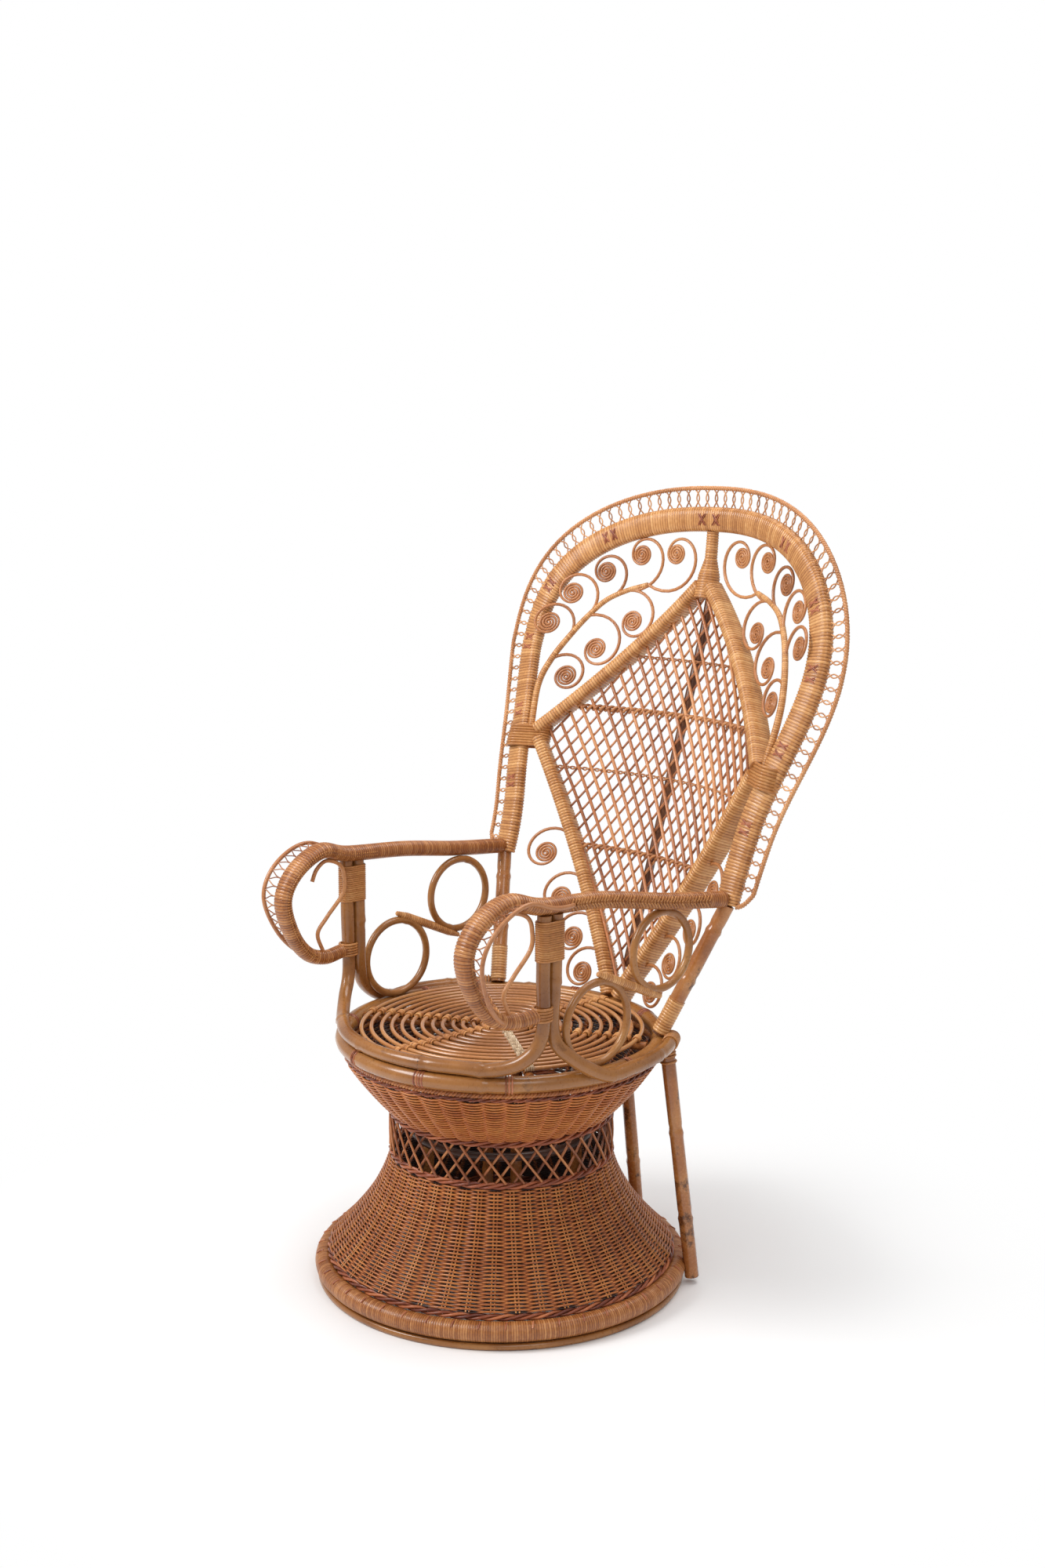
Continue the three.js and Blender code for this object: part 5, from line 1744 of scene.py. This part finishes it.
@dataclass
class Arm:
    """One arm: rail, lace, S-rod, rings, link and the sleeve on the post."""

    seat: Seat
    back: Back
    side: Side
    # Rail.
    radius: float = 12.5
    end_radius: float = 11.0
    taper_from: float = 0.6
    strip: Pair = (4.2, 0.8)
    widen: float = 6.0
    swell_power: float = 0.7
    rear_rise: float = 10.0
    front: Triple = (217.0, -252.0, 588.0)
    crown: Triple = (222.0, -180.0, 656.0)
    bottom: Triple = (224.0, -172.0, 486.0)
    curl_span: Pair = (0.42, 0.9)
    # Rings, link and S-rod.
    lower_ring: Triple = (-22.0, 458.6, 60.0)
    upper_ring: Triple = (106.4, 543.7, 58.0)
    ring_plane: float = 236.0
    ring_cane: float = 5.9
    ring_nodes: tuple[float, ...] = (0.2, 0.7)
    link: Pair = (7.0, 3.6)
    link_strip: Pair = (4.0, 0.7)
    link_inset: float = 12.0
    link_taper: float = 0.16
    s_rod: float = 3.2
    s_spots: tuple[Pair, ...] = ((-15, -46), (-7, -29), (8, -17.5), (24, -19), (39, -28), (45.2, -44),
                                 (43.2, -72), (12, -106), (-6, -130))
    s_foot: float = 4.0
    s_bed: float = 1.0
    # Lace, beads and stitches.
    lace_width: float = 31.0
    lace_flare: float = 6.0
    lace_stems: int = 23
    stem_span: Pair = (0.03, 0.97)
    lace_bed: float = 2.0
    lace_cane: float = 3.3
    lace_cord: float = 0.95
    beads: int = 150
    bead_span: Pair = (0.02, 0.98)
    bead_rows: Pair = (-0.16, 0.03)
    bead: float = 1.2
    outer_bead: float = 1.3
    inner_rows: Pair = (-0.25, 0.1)
    stitch: float = 1.2
    stitches: int = 46
    stitch_span: Pair = (0.05, 0.42)
    stitch_bend: Pair = (0.7, 0.05)
    stitch_slant: float = 8.0
    stitch_lift: float = 0.6
    # Sleeve on the post, and the tie of the rail's end.
    sleeve_out: float = 3.6
    sleeve_drop: float = 37.0
    sleeve_lift: float = 0.8
    sleeve_turns: int = 18
    sleeve_pitch: float = 3.2
    sleeve_strip: float = 1.7
    tie_out: float = 1.0
    tie_rise: float = 4.0
    tie_half: float = 2.0
    tie_lift: float = 1.4
    tie_turns: int = 5
    tie_pitch: float = 4.2
    tie_strip: float = 2.1

    # Shares of a lace stem's reach, and how far its two cords have forked there.
    STEM_OUT = np.array([-0.05, 0.2, 0.45, 0.6, 0.8, 1.0])
    STEM_FORK = np.array([0.0, 0.0, 0.1, 0.35, 0.75, 1.0])
    # Places of an outer bead's points along the curl, from its first one.
    BEAD_RUN = np.array([0.0, 0.002, 0.004])
    RAIL_STEP, EDGE_STEP, CORD_STEP, S_STEP = 1.0, 3.0, 3.0, 2.5
    EDGE_POINTS, STITCH_POINTS, RING_POINTS, LINK_POINTS, BEAD_STEP = 140, 6, 120, 40, 4
    LINK_SIZES = 60

    def build(self, bench: Bench) -> None:
        """Makes the arm's pieces.

        Args:
            bench: Where pieces are made.
        """
        run = self.run()
        along = np.linspace(0, 1, len(run))
        size = np.interp(along, (0, self.taper_from, 1), (self.radius, self.radius, self.end_radius))
        rail = self._add(bench, "arm_rail_{}_look", [Winding.wrapped(run, size, *self.strip)], Finishes.AGED,
                         "arm_rail_{}", 5)
        wide = self.widen / self.radius * self.swell(along)
        bench.stretch(rail, run * np.array([self.side.value, 1, 1]), np.array([1.0, 0.0, 0.0]), wide)
        self._lace(bench, run)
        self._beads(bench, run)
        self._stitches(bench, run)
        self._filling(bench)
        self._sleeve(bench)

    def run(self) -> np.ndarray:
        """Gives the rail's middle line on the right, from the arch round to the post.

        Returns:
            The points.
        """
        px, py = self.seat.post
        joint_x, joint_z = self.back.arm_joint
        rear = self.back.at(joint_x, joint_z + self.rear_rise, self.back.arch_depth / 2)
        fx, fy, fz = self.front
        bx, by, bz = self.bottom
        top = self.seat.post_top + self.radius
        # The offsets shape the rail between the places that the seat, the back and the curl set.
        knots = [rear, rear + np.array([-12, -110, 12]), (px, py + 110, top - 8), (px, py, top - 1),
                 self.crown, (fx + 1, fy + 22, fz + 42), self.front, (fx + 1, fy + 16, fz - 54),
                 ((fx + bx) / 2 + 1, by - 34, bz + 12), self.bottom, (px, py - 18.5, bz + 2),
                 (px, py - 2, bz + 4)]
        return Path.smooth(knots, self.RAIL_STEP)

    def swell(self, share: np.ndarray) -> np.ndarray:
        """Gives how far the arm and its lace are opened.

        Args:
            share: Shares of the rail's length.

        Returns:
            The opening, 0 to 1, at each share.
        """
        first, last = self.curl_span
        place = np.clip((share - first) / (last - first), 0, 1)
        return np.sin(math.pi * place).clip(0) ** self.swell_power

    def _add(self, bench: Bench, name: str, strands: Sequence[Strand], finish: CaneFinish,
             stands_for: str = "", detail: int = 1) -> bpy.types.Object:
        """Makes a piece on the arm's own side from strands written for the right.

        Args:
            bench: Where pieces are made.
            name: Name of the piece, with {} for the side.
            strands: Its strands.
            finish: Its finish.
            stands_for: CAD node that it stands for, with {} for the side.
            detail: Roundness of a strand.

        Returns:
            The piece.
        """
        replaces = [stands_for.format(self.side.tag)] if stands_for else []
        own = [strand.mirrored(self.side) for strand in strands]
        return bench.piece(name.format(self.side.tag), own, finish, replaces, detail)

    @staticmethod
    def _outward(run: np.ndarray) -> np.ndarray:
        """Gives unit vectors out of the rail's curl.

        Args:
            run: The rail's middle line.

        Returns:
            A vector for each point.
        """
        outward = np.cross(np.gradient(run, axis=0), np.array([1.0, 0.0, 0.0]))
        return outward / np.linalg.norm(outward, axis=1, keepdims=True)

    def _lace_at(self, run: np.ndarray, t: np.ndarray, share: np.ndarray) -> np.ndarray:
        """Gives points of the lace, which opens round the curl.

        Args:
            run: The rail's middle line.
            t: Places along the curl, 0 to 1.
            share: Shares of the lace's width, 0 at the rail and 1 at the outer cane.

        Returns:
            The points.
        """
        first, last = self.curl_span
        place = first + (last - first) * np.clip(t, 0, 1)
        along = np.linspace(0, 1, len(run))
        opened = self.swell(place)
        flare = (self.lace_flare * opened * share)[:, None]
        point = Path.between(place, along, run) + Path.between(place, along, self._outward(run)) * flare
        point[:, 0] += self.radius - self.lace_bed + self.widen * opened
        point[:, 0] += self.lace_width * opened * share
        return point

    def _lace(self, bench: Bench, run: np.ndarray) -> None:
        """Makes the netting that opens round the curl, and its outer cane.

        Args:
            bench: Where pieces are made.
            run: The rail's middle line.
        """
        t = np.linspace(0, 1, self.EDGE_POINTS)
        edge = Path.spaced(self._lace_at(run, t, np.ones_like(t)), self.EDGE_STEP)
        self._add(bench, "arm_lace_{}_look", [Winding.cane(edge, self.lace_cane)], Finishes.EDGE,
                  "arm_lace_{}", 2)
        net = []
        fork = self.STEM_FORK * 0.5 / self.lace_stems
        for stem in np.linspace(*self.stem_span, self.lace_stems):
            for way in (-1, 1):
                line = Path.smooth(self._lace_at(run, stem + way * fork, self.STEM_OUT), self.CORD_STEP)
                net.append(Strand(line, self.lace_cord))
        self._add(bench, "arm_lace_{}_net", net, Finishes.EDGE)

    def _beads(self, bench: Bench, run: np.ndarray) -> None:
        """Makes the rows of beads beside the lace and on the inner face of the curl.

        Args:
            bench: Where pieces are made.
            run: The rail's middle line.
        """
        first, last = self.curl_span
        beads = []
        for t in np.linspace(*self.bead_span, self.beads):
            for row in self.bead_rows:
                line = self._lace_at(run, t + self.BEAD_RUN, np.full(len(self.BEAD_RUN), row))
                beads.append(Strand(line, self.outer_bead))
        wide = self.radius + self.widen * self.swell(np.linspace(0, 1, len(run)))
        for angle in self.inner_rows:
            line = run + self._outward(run) * (self.radius * math.sin(angle))
            line[:, 0] -= wide * math.cos(angle) - self.bead / 2
            for i in range(int(first * len(run)), int(last * len(run)), self.BEAD_STEP):
                beads.append(Strand(line[i:i + len(self.BEAD_RUN)], self.bead))
        self._add(bench, "arm_beads_{}", beads, Finishes.BINDING, detail=0)

    def _stitches(self, bench: Bench, run: np.ndarray) -> None:
        """Makes the slanted stitches on the straight part of the rail.

        Args:
            bench: Where pieces are made.
            run: The rail's middle line.
        """
        reach = self.radius + self.stitch_lift
        ahead = np.linspace(0, self.stitch_slant, self.STITCH_POINTS)
        low, high = self.stitch_bend
        stitches = []
        for share in np.linspace(*self.stitch_span, self.stitches):
            first = int(share * (len(run) - 1))
            for way in (-1, 1):
                angle = way * np.linspace(low, high, self.STITCH_POINTS)
                line = run[(first + ahead).astype(int)].copy()
                line[:, 0] += reach * np.cos(angle)
                line[:, 2] += reach * np.sin(angle)
                stitches.append(Strand(line, self.stitch))
        self._add(bench, "arm_stitches_{}", stitches, Finishes.BINDING)

    def _filling(self, bench: Bench) -> None:
        """Makes the S-rod in the curl and the rings and link under the arm.

        Args:
            bench: Where pieces are made.
        """
        cx, cy, cz = self.crown
        knots = [(cx, cy + y, cz + z) for y, z in self.s_spots]
        knots += [(cx, cy + self.s_foot, self.bottom[2] + self.end_radius - self.s_bed)]
        self._add(bench, "arm_s_scroll_{}_look", [Strand(Path.smooth(knots, self.S_STEP), self.s_rod)],
                  Finishes.SCROLL, "arm_s_scroll_{}", 2)
        angle = np.linspace(0, TAU, self.RING_POINTS, endpoint=False)
        plane = np.full(len(angle), self.ring_plane)
        for name, (y, z, radius) in (("lower", self.lower_ring), ("upper", self.upper_ring)):
            ring = np.stack([plane, y + radius * np.cos(angle), z + radius * np.sin(angle)], 1)
            cane = Winding.cane(ring, self.ring_cane, self.ring_nodes, True)
            self._add(bench, name + "_arm_ring_{}_look", [cane], Finishes.CANE, name + "_arm_ring_{}", 3)
        (low_y, low_z, low_radius), (high_y, high_z, high_radius) = self.lower_ring, self.upper_ring
        start = np.array([self.ring_plane, low_y, low_z + low_radius + self.link_inset])
        stop = np.array([self.ring_plane, high_y, high_z - high_radius - self.link_inset])
        thick, thin = self.link
        places = (0, self.link_taper, 1 - self.link_taper, 1)
        size = np.interp(np.linspace(0, 1, self.LINK_SIZES), places, (thin, thick, thick, thin))
        link = Winding.wrapped(np.linspace(start, stop, self.LINK_POINTS), size, *self.link_strip)
        self._add(bench, "ring_link_{}_look", [link], Finishes.WRAP, "ring_link_{}", 3)

    def _sleeve(self, bench: Bench) -> None:
        """Makes the strip bound round the post's two canes, and the tie of the rail's end.

        Args:
            bench: Where pieces are made.
        """
        px, py = self.seat.post
        half = np.array([0, self.seat.post_gap / 2, 0])
        middle = np.array([px + self.sleeve_out, py, self.seat.post_top - self.sleeve_drop]) + half
        thick = np.array([self.seat.cane + self.sleeve_lift, 0, 0])
        rise = self.sleeve_pitch * UP
        sleeve = Winding.loops(middle, half, thick, rise, self.sleeve_turns, self.sleeve_strip)
        self._add(bench, "post_binding_{}_look", sleeve, Finishes.BINDING, "post_binding_{}")
        middle = np.array([px + self.tie_out, py, self.bottom[2] + self.tie_rise])
        half = np.array([0, self.tie_half, 0])
        thick = np.array([self.seat.cane + self.tie_lift, 0, 0])
        tie = Winding.loops(middle, half, thick, self.tie_pitch * UP, self.tie_turns, self.tie_strip)
        self._add(bench, "arm_tie_{}", tie, Finishes.BINDING)


@dataclass
class Studio:
    """Floor, light and camera: the floor and the lamps in metres, the camera's place in millimetres."""

    shift: float
    azimuth: float = 49.55
    distance: float = 2786.0
    height: float = 1258.0
    yaw: float = 48.93
    pitch: float = -9.91
    roll: float = 0.28
    focal_pixels: float = 2400.0
    frame_height: float = 2000.0
    sensor: float = 36.0
    surround: float = 0.5
    floor_size: float = 30.0
    floor_tone: float = 0.93
    shadow_reach: Pair = (0.42, 0.95)
    look_height: float = 0.6

    WHITE = (1.0, 1.0, 1.0, 1.0)

    def build(self) -> None:
        """Makes the stage, the lamps and the camera."""
        self._floor()
        self._world()
        self._lamp("key", (-0.9, -2.0, 2.3), size=1.2, power=56.0)
        self._lamp("fill", (2.4, -1.2, 2.6), size=1.4, power=18.0)
        self._lamp("top", (0.2, 0.6, 2.9), size=1.6, power=34.0)
        self._camera()

    def _floor(self) -> None:
        """Makes the pale floor, which keeps the chair's shadow and goes white away from it."""
        bpy.ops.mesh.primitive_grid_add(x_subdivisions=8, y_subdivisions=8, size=self.floor_size)
        floor = bpy.context.object
        floor.name = "floor"
        material = bpy.data.materials.new("floor")
        graph = Graph.of(material)
        place = graph.node("ShaderNodeTexCoord", "Object")
        away = graph.node("ShaderNodeVectorMath", "Value", {0: place, 1: (0.0, -self.shift * MM, 0.0)},
                          operation="DISTANCE")
        near, far = self.shadow_reach
        fade = graph.node("ShaderNodeMapRange", "Result", {"Value": away, "From Min": near, "From Max": far},
                          interpolation_type="SMOOTHSTEP")
        seen = graph.node("ShaderNodeLightPath", "Is Camera Ray")
        matt = graph.node("ShaderNodeBsdfPrincipled", "BSDF", {
            "Base Color": (*(self.floor_tone,) * 3, 1.0), "Roughness": 0.9})
        white = graph.node("ShaderNodeEmission", "Emission", {"Color": self.WHITE, "Strength": 1.0})
        shader = graph.node("ShaderNodeMixShader", "Shader", {0: fade * seen, 1: matt, 2: white})
        graph.node("ShaderNodeOutputMaterial", inputs={"Surface": shader})
        floor.data.materials.append(material)

    def _world(self) -> None:
        """Makes an even white surround, white to the camera and softer as light."""
        world = bpy.data.worlds.new("studio")
        graph = Graph.of(world)
        seen = graph.node("ShaderNodeLightPath", "Is Camera Ray")
        level = graph.node("ShaderNodeMapRange", "Result", {
            "Value": seen, "To Min": self.surround, "To Max": 1.0})
        ground = graph.node("ShaderNodeBackground", "Background", {"Color": self.WHITE, "Strength": level})
        graph.node("ShaderNodeOutputWorld", inputs={"Surface": ground})
        bpy.context.scene.world = world

    def _lamp(self, name: str, place: Triple, size: float, power: float) -> None:
        """Makes a square lamp that looks at the chair.

        Args:
            name: Name of the lamp.
            place: Where it hangs, in metres.
            size: Length of its side, in metres.
            power: Its power in watts.
        """
        data = bpy.data.lights.new(name, "AREA")
        data.size = size
        data.energy = power
        lamp = bpy.data.objects.new(name, data)
        lamp.location = place
        way = Vector((0, 0, self.look_height)) - lamp.location
        lamp.rotation_euler = way.to_track_quat("-Z", "Y").to_euler()
        bpy.context.scene.collection.objects.link(lamp)

    def _camera(self) -> None:
        """Makes the camera where the photograph was taken from."""
        azimuth, yaw, pitch, roll = np.radians((self.azimuth, self.yaw, self.pitch, self.roll)).tolist()
        place = Vector((math.sin(azimuth) * self.distance, -math.cos(azimuth) * self.distance - self.shift,
                        self.height))
        ahead = Vector((-math.sin(yaw) * math.cos(pitch), math.cos(yaw) * math.cos(pitch), math.sin(pitch)))
        level = Vector((math.cos(yaw), math.sin(yaw), 0))
        above = level.cross(ahead)
        right = level * math.cos(roll) + above * math.sin(roll)
        up = above * math.cos(roll) - level * math.sin(roll)
        data = bpy.data.cameras.new("camera")
        data.sensor_width = self.sensor
        data.lens = self.focal_pixels * self.sensor / self.frame_height
        data.clip_start = 0.05
        data.clip_end = 100.0
        camera = bpy.data.objects.new("camera", data)
        turn = Matrix((right, up, -ahead)).transposed().to_4x4()
        camera.matrix_world = Matrix.Translation(place * MM) @ turn
        bpy.context.scene.collection.objects.link(camera)
        bpy.context.scene.camera = camera


def main() -> None:
    """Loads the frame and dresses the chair."""
    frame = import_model()
    LOG.info("frame: %d nodes", len(frame["nodes"]))
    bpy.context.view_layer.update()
    low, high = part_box("floor_hoop")
    shift = -(low.y + high.y) / 2 / MM
    bpy.context.scene.view_settings.view_transform = "Standard"
    Studio(shift).build()
    bench = Bench(shift)
    base = Base()
    base.build(bench)
    seat = Seat(base.radius)
    seat.build(bench)
    back = Back(seat)
    back.build(bench)
    for side in Side:
        Arm(seat, back, side).build(bench)
    LOG.info("whole chair: %d triangles", bench.triangles)


if __name__ == "__main__":
    main()
